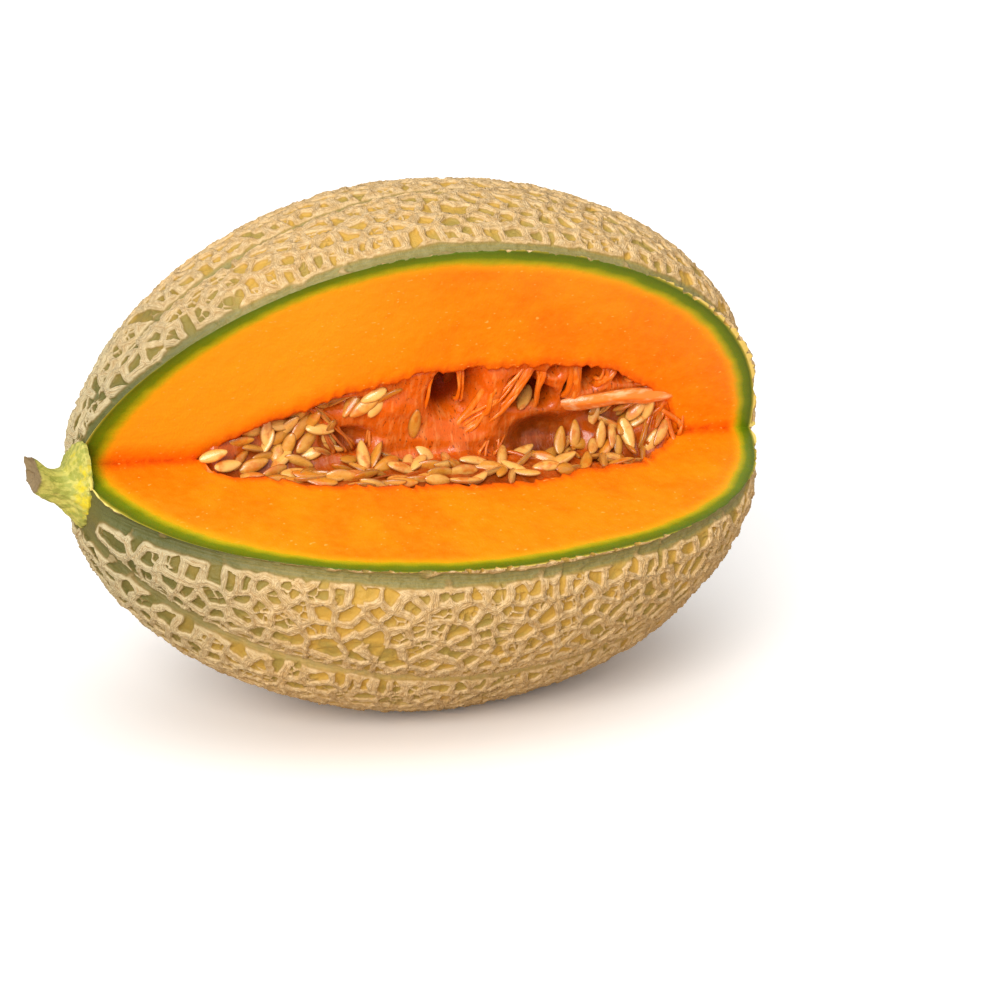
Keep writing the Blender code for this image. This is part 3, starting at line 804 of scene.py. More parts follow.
    def bump(self, shader: Node, height: Socket, distance: float, strength: float) -> None:
        """Gives a shader a fine relief whose height 1 stands for a distance in metres."""
        node = self.add("Bump", Height=height, Distance=distance, Strength=strength)
        self.feed(shader.inputs["Normal"], node.outputs["Normal"])


class SharedEffects:
    """The node groups that more than one material uses, built once."""

    def __init__(self) -> None:
        """Builds the groups."""
        self.mottle = self._mottle()
        self.grain = self._grain()

    def patches(self, nodes: Nodes, scale: float, low: float, high: float) -> Socket:
        """Places the mottle, with so many patches to a metre, that start and are full at two levels."""
        return nodes.group(self.mottle, "Mask", Scale=scale, Low=low, High=high)

    def grains(self, nodes: Nodes, lumps: float, grains: float, share: float) -> Socket:
        """Places the grain, with so many lumps and grains to a metre, and the grains' share."""
        return nodes.group(self.grain, "Height", Lumps=lumps, Grains=grains, Share=share)

    @staticmethod
    def _tree(name: str, inputs: dict[str, float], output: str) -> tuple[Nodes, Node, Node]:
        """Starts a group.

        Args:
            name: Its name.
            inputs: Its number inputs, with their first values.
            output: Its number output.

        Returns:
            Its tree, and the nodes of its inputs and of its output.
        """
        tree = bpy.data.node_groups.new(name, "ShaderNodeTree")
        for key, value in inputs.items():
            socket = tree.interface.new_socket(name=key, in_out="INPUT", socket_type="NodeSocketFloat")
            socket.default_value = value
        tree.interface.new_socket(name=output, in_out="OUTPUT", socket_type="NodeSocketFloat")
        nodes = Nodes(tree)
        return nodes, tree.nodes.new("NodeGroupInput"), tree.nodes.new("NodeGroupOutput")

    def _mottle(self) -> bpy.types.NodeTree:
        """Patches: a mask from two sizes of noise.

        Returns:
            The group.
        """
        nodes, given, out = self._tree("mottle", {"Scale": 50.0, "Low": 0.35, "High": 0.65}, "Mask")
        place = nodes.place()
        broad = nodes.add("TexNoise", Vector=place, Scale=given.outputs["Scale"], Detail=2.0)
        finer = nodes.times(given.outputs["Scale"], 4.3)
        small = nodes.add("TexNoise", Vector=place, Scale=finer, Detail=2.0)
        both = nodes.plus(nodes.times(broad.outputs["Fac"], 0.7), nodes.times(small.outputs["Fac"], 0.3))
        mask = nodes.span(both, given.outputs["Low"], given.outputs["High"])
        nodes.feed(out.inputs["Mask"], mask)
        return nodes.tree

    def _grain(self) -> bpy.types.NodeTree:
        """Fine unevenness: a height from lumps and finer grains.

        Returns:
            The group.
        """
        inputs = {"Lumps": 600.0, "Grains": 2200.0, "Share": 0.5}
        nodes, given, out = self._tree("grain", inputs, "Height")
        place = nodes.place()
        lumps = nodes.add("TexNoise", Vector=place, Scale=given.outputs["Lumps"], Detail=3.0)
        grains = nodes.add("TexNoise", Vector=place, Scale=given.outputs["Grains"], Detail=2.0)
        weighed = nodes.times(grains.outputs["Fac"], given.outputs["Share"])
        nodes.feed(out.inputs["Height"], nodes.plus(lumps.outputs["Fac"], weighed))
        return nodes.tree


def new_material(name: str) -> tuple[Material, Nodes, Node]:
    """Starts a material.

    Args:
        name: Its name.

    Returns:
        The material, its tree and its shader.
    """
    material = bpy.data.materials.new(name)
    material.use_nodes = True
    return material, Nodes(material.node_tree), material.node_tree.nodes["Principled BSDF"]


# Finishes


@dataclass(frozen=True)
class RindFinish:
    """Dry tan net over ochre and green skin."""

    cream: Color = (0.76, 0.545, 0.285)
    tan: Color = (0.6, 0.385, 0.155)
    # The net's cracks are this dark colour; it also paints shade round the foot of the strands.
    crack_and_pit_shade: Color = (0.34, 0.17, 0.05)
    ochre: Color = (0.56, 0.33, 0.055)
    olive: Color = (0.36, 0.255, 0.055)
    seam_green: Color = (0.195, 0.175, 0.05)
    seam_pale: Color = (0.36, 0.32, 0.15)
    seam_ochre: Color = (0.6, 0.4, 0.13)
    stem_green: Color = (0.07, 0.086, 0.022)
    stem_strand: Color = (0.52, 0.47, 0.29)
    ground: Color = (0.78, 0.55, 0.22)
    ridge_mm: float = 0.52
    bump: float = 0.0003

    def make(self, shared: SharedEffects) -> Material:
        """Builds the material.

        Args:
            shared: The shared node groups.

        Returns:
            The material.
        """
        material, nodes, shader = new_material("netted_rind")
        net, seam, stem = nodes.value("net"), nodes.value("seam"), nodes.value("stemward")
        broad = shared.patches(nodes, 60.0, 0.4, 0.62)
        fine = shared.patches(nodes, 520.0, 0.35, 0.65)
        pit = nodes.mix(broad, self.ochre, self.olive)
        pit = nodes.mix(nodes.times(nodes.value("ground"), 0.7), pit, self.ground)
        pit = nodes.mix(nodes.times(stem, 0.85), pit, self.stem_green)
        strand = nodes.mix(fine, self.tan, self.cream)
        strand = nodes.mix(nodes.times(stem, 0.75), strand, self.stem_strand)
        ridge = self.ridges(nodes, nodes.value("across_mm"), self.ridge_mm)
        line = nodes.times(nodes.span(ridge, 0.45, 0.0), 0.42)
        furrow = nodes.times(nodes.value("furrow"), 0.55)
        dark = nodes.times(nodes.math("MAXIMUM", line, furrow), nodes.span(net, 0.45, 0.8))
        strand = nodes.mix(dark, strand, self.crack_and_pit_shade)
        band = nodes.mix(nodes.value("seam_tone"), self.seam_green, self.seam_ochre)
        band = nodes.mix(nodes.times(fine, 0.45), band, self.seam_pale)
        stripe = self.ridges(nodes, nodes.value("seam_mm"), 0.9)
        band = nodes.mix(nodes.times(nodes.span(stripe, 0.5, 0.0), 0.35), band, self.olive)
        band = nodes.mix(nodes.times(stem, 0.8), band, self.stem_green)
        pit = nodes.mix(seam, pit, band)
        # Painted shade: a dark rim round each pit, at the foot of the strands, where the raised net would
        # shade it.
        edge = nodes.mix(nodes.times(nodes.span(net, 0.12, 0.4), 0.4), pit, self.crack_and_pit_shade)
        color = nodes.mix(nodes.span(net, 0.28, 0.55), edge, strand)
        nodes.give(
            shader,
            Base_Color=color,
            Roughness=nodes.span(net, 0.2, 0.6, 0.5, 0.8),
            Specular_IOR_Level=0.3,
        )
        grain = shared.grains(nodes, 900.0, 3000.0, 0.6)
        raised = nodes.times(ridge, nodes.span(net, 0.4, 0.8, 0.0, 0.7))
        nodes.bump(shader, nodes.plus(grain, raised), self.bump, 0.9)
        return material

    @staticmethod
    def ridges(nodes: Nodes, distance: Socket, width: float) -> Socket:
        """Fine uneven ridges that run side by side.

        Args:
            nodes: The tree to build in.
            distance: The distance across them, in millimetres.
            width: How wide each is, in millimetres.

        Returns:
            A height from 0 to 1.
        """
        sway = nodes.times(nodes.noise(0.0021, 3.0), 9.0)
        turn = nodes.plus(nodes.times(distance, 2.0 * math.pi / width), sway)
        return nodes.times(nodes.plus(nodes.math("SINE", turn, 0.0), 1.0), 0.5)


@dataclass(frozen=True)
class FleshFinish:
    """Moist orange flesh with the green band under the skin."""

    skin_line: Color = (0.78, 0.62, 0.16)
    rim_olive: Color = (0.3, 0.27, 0.02)
    deep_green: Color = (0.08, 0.125, 0.002)
    green: Color = (0.135, 0.2, 0.001)
    olive: Color = (0.42, 0.36, 0.003)
    yellow: Color = (0.9, 0.37, 0.004)
    orange: Color = (0.95, 0.25, 0.001)
    deep_orange: Color = (0.94, 0.185, 0.0)
    red_orange: Color = (0.68, 0.085, 0.0)
    left_orange: Color = (0.96, 0.345, 0.008)
    speck: Color = (0.97, 0.5, 0.1)
    reach_mm: float = 14.0
    bump: float = 0.00022

    def make(self, shared: SharedEffects) -> Material:
        """Builds the material.

        Args:
            shared: The shared node groups.

        Returns:
            The material.
        """
        material, nodes, shader = new_material("orange_flesh")
        depth, inner = nodes.value("depth_mm"), nodes.value("inner_mm")
        wander = nodes.noise(0.01, 3.0)
        streaks = nodes.noise(0.0035, 2.0, nodes.stretched((0.22, 1.0, 1.0)))
        shift = nodes.times(nodes.math("SUBTRACT", wander, 0.5), 1.6)
        pull = nodes.times(nodes.math("SUBTRACT", streaks, 0.5), 1.2)
        deeper = nodes.span(depth, 0.3, 2.5)
        moved = nodes.plus(depth, nodes.times(nodes.plus(shift, pull), deeper))
        share = nodes.math("DIVIDE", moved, self.reach_mm, clamp=True)
        patches = shared.patches(nodes, 26.0, 0.38, 0.6)
        cells = shared.patches(nodes, 330.0, 0.25, 0.75)
        flesh = nodes.mix(patches, self.orange, self.deep_orange)
        flesh = nodes.mix(nodes.times(cells, 0.24), flesh, self.yellow)
        flesh = nodes.mix(nodes.value("leftward"), flesh, self.left_orange)
        near = nodes.span(inner, 0.0, 4.5, 1.0, 0.0)
        near = nodes.times(near, nodes.span(nodes.noise(0.003), 0.3, 0.7, 0.45, 1.0))
        flesh = nodes.mix(near, flesh, self.red_orange)
        specks = nodes.noise(0.0009, 0.0, nodes.stretched((0.7, 1.0, 1.4)))
        flesh = nodes.mix(nodes.span(specks, 0.77, 0.85, 0.0, 0.7), flesh, self.speck)
        band = nodes.ramp(
            share,
            [
                (0.0, self.skin_line),
                (0.025, self.skin_line),
                (0.055, self.rim_olive),
                (0.095, self.deep_green),
                (0.25, self.green),
                (0.36, self.olive),
                (0.5, self.yellow),
            ],
        )
        color = nodes.mix(nodes.span(share, 0.35, 0.66), band, flesh)
        nodes.give(
            shader,
            Base_Color=color,
            Roughness=nodes.span(cells, 0.0, 1.0, 0.36, 0.5),
            Specular_IOR_Level=0.28,
            Coat_Weight=0.06,
            Coat_Roughness=0.25,
        )
        nodes.bump(shader, shared.grains(nodes, 420.0, 1700.0, 0.7), self.bump, 0.8)
        return material


@dataclass(frozen=True)
class PulpFinish:
    """Wet orange-red pulp, paler on its folds, with painted shade that turns it brown in shaded zones and
    nearly brown deep down.
    """

    name: str = "wet_pulp"
    # deep is painted shade: the colour of the pulp far down in the cavity, where it would lie in shade.
    deep: Color = (0.24, 0.022, 0.001)
    # brown is the colour of the pulp's flecks, and also the painted shade of its darker zones.
    brown: Color = (0.19, 0.03, 0.002)
    body: Color = (0.7, 0.115, 0.002)
    pale: Color = (0.84, 0.3, 0.07)
    paleness: float = 0.5
    fleck_share: float = 0.75
    fibre_stretch: Color = (1.5, 0.5, 0.35)
    roughness: float = 0.28
    bump: float = 0.0003

    def make(self, shared: SharedEffects) -> Material:
        """Builds the material.

        Args:
            shared: The shared node groups.

        Returns:
            The material.
        """
        material, nodes, shader = new_material(self.name)
        raised, painted_shade = nodes.value("raised"), nodes.value("painted_shade")
        patches = shared.patches(nodes, 130.0, 0.36, 0.64)
        fibres = nodes.noise(0.0018, 3.0, nodes.stretched(self.fibre_stretch))
        light = nodes.times(nodes.span(fibres, 0.46, 0.7), self.paleness)
        color = nodes.mix(light, self.body, self.pale)
        flecks = nodes.noise(0.001, 1.0, nodes.stretched((1.3, 0.7, 0.6)))
        flecks = nodes.times(nodes.span(flecks, 0.64, 0.74), self.fleck_share)
        color = nodes.mix(flecks, color, self.brown)
        # Painted shade: brown in the shaded zones, and the deep colour where the pulp lies far down in the
        # cavity.
        shade = nodes.times(painted_shade, nodes.span(patches, 0.0, 1.0, 0.75, 1.0))
        color = nodes.mix(shade, color, self.brown)
        color = nodes.mix(nodes.span(raised, 0.05, 0.85, 1.0, 0.0), color, self.deep)
        nodes.give(
            shader,
            Base_Color=color,
            Roughness=self.roughness,
            Specular_IOR_Level=nodes.span(raised, 0.2, 1.0, 0.05, 0.35),
            Coat_Weight=nodes.span(raised, 0.3, 1.0, 0.0, 0.35),
            Coat_Roughness=0.12,
        )
        grain = shared.grains(nodes, 500.0, 1500.0, 0.4)
        nodes.bump(shader, nodes.plus(grain, fibres), self.bump, 0.8)
        return material


@dataclass(frozen=True)
class SeedFinish:
    """A wet amber seed coat, darker at its rim, with painted shade on the seeds that lie deep in the pulp.
    """

    pale: Color = (0.9, 0.52, 0.13)
    tan: Color = (0.64, 0.27, 0.025)
    rim: Color = (0.24, 0.06, 0.004)
    film: Color = (0.6, 0.13, 0.003)
    # deep is painted shade for the seeds that lie far down in the pulp.
    deep: Color = (0.26, 0.045, 0.002)
    bump: float = 0.0001

    def make(self, shared: SharedEffects) -> Material:
        """Builds the material.

        Args:
            shared: The shared node groups.

        Returns:
            The material.
        """
        material, nodes, shader = new_material("seed_coat")
        fine = shared.patches(nodes, 420.0, 0.3, 0.7)
        tone = nodes.plus(nodes.times(fine, 0.35), nodes.value("tint"))
        color = nodes.mix(nodes.span(tone, 0.1, 1.1), self.pale, self.tan)
        color = nodes.mix(nodes.times(nodes.value("rim"), 0.85), color, self.rim)
        cover = shared.patches(nodes, 170.0, 0.5, 0.64)
        color = nodes.mix(nodes.times(cover, 0.7), color, self.film)
        # Painted shade: seeds that lie deep in the pulp are darkened.
        color = nodes.mix(nodes.value("deep"), color, self.deep)
        wet = nodes.span(nodes.value("deep"), 0.0, 0.6, 0.55, 0.05)
        nodes.give(shader, Base_Color=color, Roughness=0.3, Specular_IOR_Level=0.45)
        nodes.give(shader, Coat_Weight=wet, Coat_Roughness=0.1)
        nodes.bump(shader, shared.grains(nodes, 900.0, 2500.0, 0.4), self.bump, 0.7)
        return material


@dataclass(frozen=True)
class StemFinish:
    """A yellow-green stalk with green streaks and a brown cut end."""

    pale: Color = (0.54, 0.49, 0.105)
    green: Color = (0.34, 0.35, 0.055)
    bright: Color = (0.68, 0.54, 0.015)
    cork: Color = (0.25, 0.175, 0.085)
    bump: float = 0.0003

    def make(self, shared: SharedEffects) -> Material:
        """Builds the material.

        Args:
            shared: The shared node groups.

        Returns:
            The material.
        """
        material, nodes, shader = new_material("green_stalk")
        streaks = nodes.noise(0.0016, 3.0, nodes.stretched((0.12, 1.0, 1.0)))
        color = nodes.mix(nodes.span(streaks, 0.42, 0.6), self.pale, self.green)
        foot = shared.patches(nodes, 160.0, 0.5, 0.64)
        color = nodes.mix(nodes.times(foot, nodes.value("foot")), color, self.bright)
        color = nodes.mix(nodes.value("cork"), color, self.cork)
        nodes.give(shader, Base_Color=color, Roughness=0.62)
        height = nodes.plus(shared.grains(nodes, 700.0, 2600.0, 0.5), streaks)
        nodes.bump(shader, height, self.bump, 0.9)
        return material


# The rind


@dataclass
class RindNet:
    """The skin with its ribs, its seams and the raised net."""

    form: MelonForm
    seed: int = 7
    rows: int = 680
    columns: int = 980
    pole_gap: float = 0.0006
    rest_level: float = -0.0776
    spacing: float = 0.005
    darts: int = 40000
    seam_step: float = 0.007
    seam_apart: float = 0.0036
    flank_offset: float = 0.005
    flank_step: float = 0.0044
    flank_apart: float = 0.0032
    seam_ends: Pair = (-0.96, 0.93)
    seam_scatter: float = 0.35
    crest: float = 0.0012
    floor: float = 0.0005
    crest_power: float = 0.85
    strand: float = 0.00125
    strand_widths: Pair = (0.68, 1.4)
    strand_heights: Pair = (0.62, 1.00)
    strand_slope: Pair = (0.6, 1.22)
    second_strand: float = 0.85
    broken_share: float = 0.09
    broken_height: float = 0.15
    bend: Pair = (0.006, 0.0011)
    wriggle: Pair = (0.0019, 0.00045)
    flake_spacing: float = 0.0024
    flake_darts: int = 70000
    flake: float = 0.00042
    flake_height: float = 0.62
    flake_slope: Pair = (0.35, 1.15)
    flake_wriggle: Pair = (0.0014, 0.00035)
    flake_patch: float = 0.0075
    wobble: float = 0.009
    bare_band: Pair = (0.0012, 0.0034)
    bare_wobble: float = 0.001
    bare_end: Pair = (1.02, 0.72)
    bare_tip: Pair = (0.004, 0.016)
    crossing: float = 0.0035
    crossing_share: float = 0.4
    seam_line: float = 0.0012
    seam_line_height: float = 0.00009
    seam_tones: tuple[float, ...] = (0.35, 0.08, 0.15, 0.3, 0.5, 0.6, 0.7, 0.75, 0.92, 0.05)
    scar: float = 0.0085
    scar_ring: float = 0.0031
    scar_wobble: float = 0.0008
    foot_clear: Pair = (0.0105, 0.015)
    furrow_edge: Pair = (0.00034, 0.00008)
    ridge_height: float = 0.00022
    crumb_height: float = 0.0002
    furrow_depth: float = 0.0004
    flake_step: float = 0.00026
    pit_height: float = 0.00006
    stem_end: Pair = (-0.058, -0.108)
    ground_level: Pair = (-0.06, -0.077)
    noise: Noise = field(init=False)

    def __post_init__(self) -> None:
        """Makes the noise."""
        self.noise = Noise(self.seed)

    def sites(self, spacing: float, darts: int, with_seams: bool) -> Array:
        """The middles of meshes, spread evenly but at random.

        Args:
            spacing: How far apart they are at least.
            darts: How many random places are tried.
            with_seams: Whether rows of them run along the seams.

        Returns:
            The points.
        """
        form, rng = self.form, np.random.default_rng(self.seed)
        found: list[Array] = []
        cells: dict[tuple[int, int, int], list[Array]] = {}

        def offer(point: Array, apart: float) -> None:
            """Takes a point unless another is too near.

            Args:
                point: The point.
                apart: How far from the others it has to be.
            """
            key = tuple(int(v) for v in np.floor(point / spacing))
            for dx in (-1, 0, 1):
                for dy in (-1, 0, 1):
                    for dz in (-1, 0, 1):
                        for other in cells.get((key[0] + dx, key[1] + dy, key[2] + dz), ()):
                            gap = point - other
                            if gap @ gap < apart * apart:
                                return
            cells.setdefault(key, []).append(point)
            found.append(point)

        if with_seams:
            for step, offset, apart in (
                (self.seam_step, 0.0, self.seam_apart),
                (self.flank_step, self.flank_offset, self.flank_apart),
                (self.flank_step, -self.flank_offset, self.flank_apart),
            ):
                start, stop = (end * form.half_length for end in self.seam_ends)
                places = np.arange(start, stop, step)
                for number in range(len(form.seams)):
                    scatter = rng.uniform(-self.seam_scatter, self.seam_scatter, len(places))
                    for point in self.seam_points(places + scatter * step, number, offset):
                        offer(point, apart)
        x = rng.uniform(-1.0, 1.0, darts) * form.half_length
        for point in form.smooth_skin(x, rng.uniform(0.0, 360.0, darts)):
            offer(point, spacing)
        return np.array(found)

    def seam_points(self, x: Array, number: int, offset: float) -> Array:
        """Points on the smooth skin beside a seam.

        Args:
            x: Places along the axis.
            number: The seam's number.
            offset: How far beside it they lie.

        Returns:
            The points.
        """
        form = self.form
        middle, radius = form.seam_middle(x), form.radius(x)
        way = heading(form.seam_angle(number, x) + np.degrees(offset / np.maximum(radius, 0.012)))
        reach, _ = reach_round(middle[..., 1:], way[..., 1:], radius)
        return middle + way * reach[..., None]

    @staticmethod
    def mesh_edges(sites: Array, points: Array) -> tuple[Array, list[Array]]:
        """How far points are from the edges of the meshes round some sites.

        Args:
            sites: The meshes' middles.
            points: The points.

        Returns:
            The numbers of each point's three nearest sites, and its distances to the edges that
            part the nearest from the other two.
        """
        tree = KDTree(len(sites))
        for number, site in enumerate(sites):
            tree.insert(site, number)
        tree.balance()
        near = np.array([[hit[1] for hit in tree.find_n(point, 3)] for point in points])
        places = [sites[near[:, k]] for k in range(3)]
        squares = [((points - place) ** 2).sum(axis=1) for place in places]
        distances = []
        for k in (1, 2):
            apart = np.maximum(np.linalg.norm(places[k] - places[0], axis=1), 1e-6)
            distances.append((squares[k] - squares[0]) / (2.0 * apart))
        return near, distances

    @staticmethod
    def luck(first: Array, second: Array, salt: int) -> Array:
        """A random number from 0 to 1 for each pair of meshes, the same from both sides."""
        low, high = np.minimum(first, second), np.maximum(first, second)
        return ((low * 7919 + high * 104729 + salt * 15485863) % 10007) / 10007.0

    def strands(self, points: Array) -> tuple[Array, Array]:
        """The net's strands, which run along the edges between its meshes.

        Args:
            points: The points on the smooth skin.

        Returns:
            The strands' height from 0 to 1, and the distance from a strand's middle.
        """
        bent = self.noise.push(self.noise.push(points, *self.bend), *self.wriggle)
        near, distances = self.mesh_edges(self.sites(self.spacing, self.darts, True), bent)
        heights = []
        for k in (1, 2):
            pair = (near[:, 0], near[:, k])
            low, high = self.strand_widths
            width = self.strand * (low + (high - low) * self.luck(*pair, 1))
            low, high = self.strand_heights
            height = low + (high - low) * self.luck(*pair, 2)
            height = np.where(self.luck(*pair, 3) < self.broken_share, self.broken_height, height)
            heights.append(height * (1.0 - smoothstep(*self.strand_slope, distances[k - 1] / width)))
        return 1.0 - (1.0 - heights[0]) * (1.0 - self.second_strand * heights[1]), distances[0]

    def flakes(self, points: Array) -> Array:
        """The fine cork flakes between the strands.

        Args:
            points: The points on the smooth skin.

        Returns:
            Their height from 0 to 1.
        """
        moved = self.noise.push(points, *self.flake_wriggle)
        _, edges = self.mesh_edges(self.sites(self.flake_spacing, self.flake_darts, False), moved)
        return 1.0 - smoothstep(*self.flake_slope, edges[0] / self.flake)

    def relief(self, x: Array, points: Array) -> dict[str, Array]:
        """The net's height and the values that its material reads.

        Args:
            x: Places along the axis.
            points: The points on the smooth skin.

        Returns:
            The height, and the masks net, seam, seam_tone, stemward, furrow and ground, and the
            distances across_mm from a strand's middle and seam_mm from a seam's.
        """
        form, noise = self.form, self.noise
        net, across = self.strands(points)
        flake = self.flakes(points)
        distance, _, number = form.seam_reach(x, points)
        radius = form.radius(x)
        partly = smoothstep(-0.15, 0.45, noise.at(points, self.flake_patch))
        net = np.maximum(net, self.flake_height * flake * partly)
        wobble = noise.layered(points, self.wobble, 2)
        bare = 1.0 - smoothstep(*self.bare_band, distance + self.bare_wobble * wobble)
        bare = bare * smoothstep(*self.bare_end, x / form.half_length)
        bare = bare * smoothstep(*self.bare_tip, radius)
        crossing = smoothstep(0.15, 0.6, noise.at(points, self.crossing))
        net = net * (1.0 - bare * (1.0 - self.crossing_share * crossing))
        wavy_radius = radius + self.scar_wobble * wobble
        scarred = smoothstep(self.scar + 0.0012, self.scar - 0.0008, wavy_radius) * (x > 0.0)
        rings = 0.5 + 0.5 * np.cos(2.0 * math.pi * radius / self.scar_ring)
        net = np.maximum(net, scarred * (0.45 + 0.5 * rings))
        net = np.where(x < 0.0, net * smoothstep(*self.foot_clear, radius), net)
        ridges = 1.0 - np.abs(noise.at(noise.push(points, 0.003, 0.001), 0.0012))
        crumbs = noise.layered(points, 0.0014, 2)
        furrow = smoothstep(*self.furrow_edge, across) * smoothstep(-0.35, 0.2, noise.at(points, 0.0026))
        height = -self.floor + (self.crest + self.floor) * net**self.crest_power
        rough = self.ridge_height * (ridges - 0.6) + self.crumb_height * crumbs
        rough = rough - self.furrow_depth * furrow + self.flake_step * (flake - 0.4)
        height = height + net * rough + self.pit_height * crumbs
        lines = np.sin(2.0 * math.pi * distance / self.seam_line + 2.0 * wobble)
        return {
            "height": height + self.seam_line_height * bare * lines,
            "net": net,
            "seam": bare,
            "seam_tone": np.array(self.seam_tones)[number],
            "stemward": smoothstep(*self.stem_end, x + 0.012 * wobble),
            "furrow": furrow,
            "ground": smoothstep(*self.ground_level, points[:, 2] + 0.004 * wobble),
            "across_mm": across / MM,
            "seam_mm": distance / MM,
        }

    def stations(self) -> Array:
        """Where the rows lie.

        Returns:
            Places along the axis that are evenly spaced along the skin.
        """
        turn = np.linspace(0.0, math.pi, 4001)
        x = -self.form.half_length * np.cos(turn)
        radius = self.form.radius(x)
        steps = np.hypot(np.diff(x), np.diff(radius))
        length = np.concatenate([[0.0], np.cumsum(steps)])
        wanted = np.linspace(self.pole_gap, length[-1] - self.pole_gap, self.rows)
        return np.interp(wanted, length, x)

    def build(self) -> tuple[Piece, dict[str, Array]]:
        """Builds the skin.

        Returns:
            The piece, and its rows: their places x, the edges of both cuts and whether each row
            is cut at all.
        """
        form = self.form
        x = self.stations()
        lower, upper = form.cut_degrees(x)
        corner = form.cut_corner(x)
        upper_reach, lower_reach = form.cut_reach(x, upper), form.cut_reach(x, lower)
        cut = (upper_reach > 0.0) & (lower_reach > 0.0)
        start = angle_of(corner + heading(upper) * upper_reach[:, None])
        end = angle_of(corner + heading(lower) * lower_reach[:, None])
        closed = angle_of(corner)
        start, end = np.where(cut, start, closed), np.where(cut, end, closed) + 360.0
        share = np.linspace(0.0, 1.0, self.columns)
        degrees = start[:, None] + (end - start)[:, None] * share[None, :]
        rows = np.broadcast_to(x[:, None], degrees.shape)
        flat_x = rows.ravel()
        smooth = form.smooth_skin(flat_x, degrees.ravel())
        values = self.relief(flat_x, smooth)
        distance, rib_share, _ = form.seam_reach(flat_x, smooth)
        raised = values.pop("height") - form.ribs(flat_x, distance, rib_share)
        points = smooth + form.outward(smooth) * raised[:, None]
        points[:, 2] = np.maximum(points[:, 2], self.rest_level)
        index = np.arange(points.shape[0]).reshape(degrees.shape)
        index[~cut, -1] = index[~cut, 0]
        poles = np.array([[-form.half_length, 0.0, 0.0], [form.half_length, 0.0, 0.0]])
        count = len(points)
        first = np.stack([index[0, 1:], index[0, :-1], np.full(self.columns - 1, count)], axis=-1)
        last = np.stack([index[-1, :-1], index[-1, 1:], np.full(self.columns - 1, count + 1)], axis=-1)
        values = {key: np.concatenate([value, value[[0, -1]]]) for key, value in values.items()}
        faces = [grid_faces(index)[:, ::-1], np.concatenate([first, last])]
        piece = make_piece("netted_rind", np.concatenate([points, poles]), faces, values)
        grid = points.reshape(*degrees.shape, 3)
        return piece, {"x": x, "cut": cut, "upper": grid[:, 0], "lower": grid[:, -1]}


# The flesh


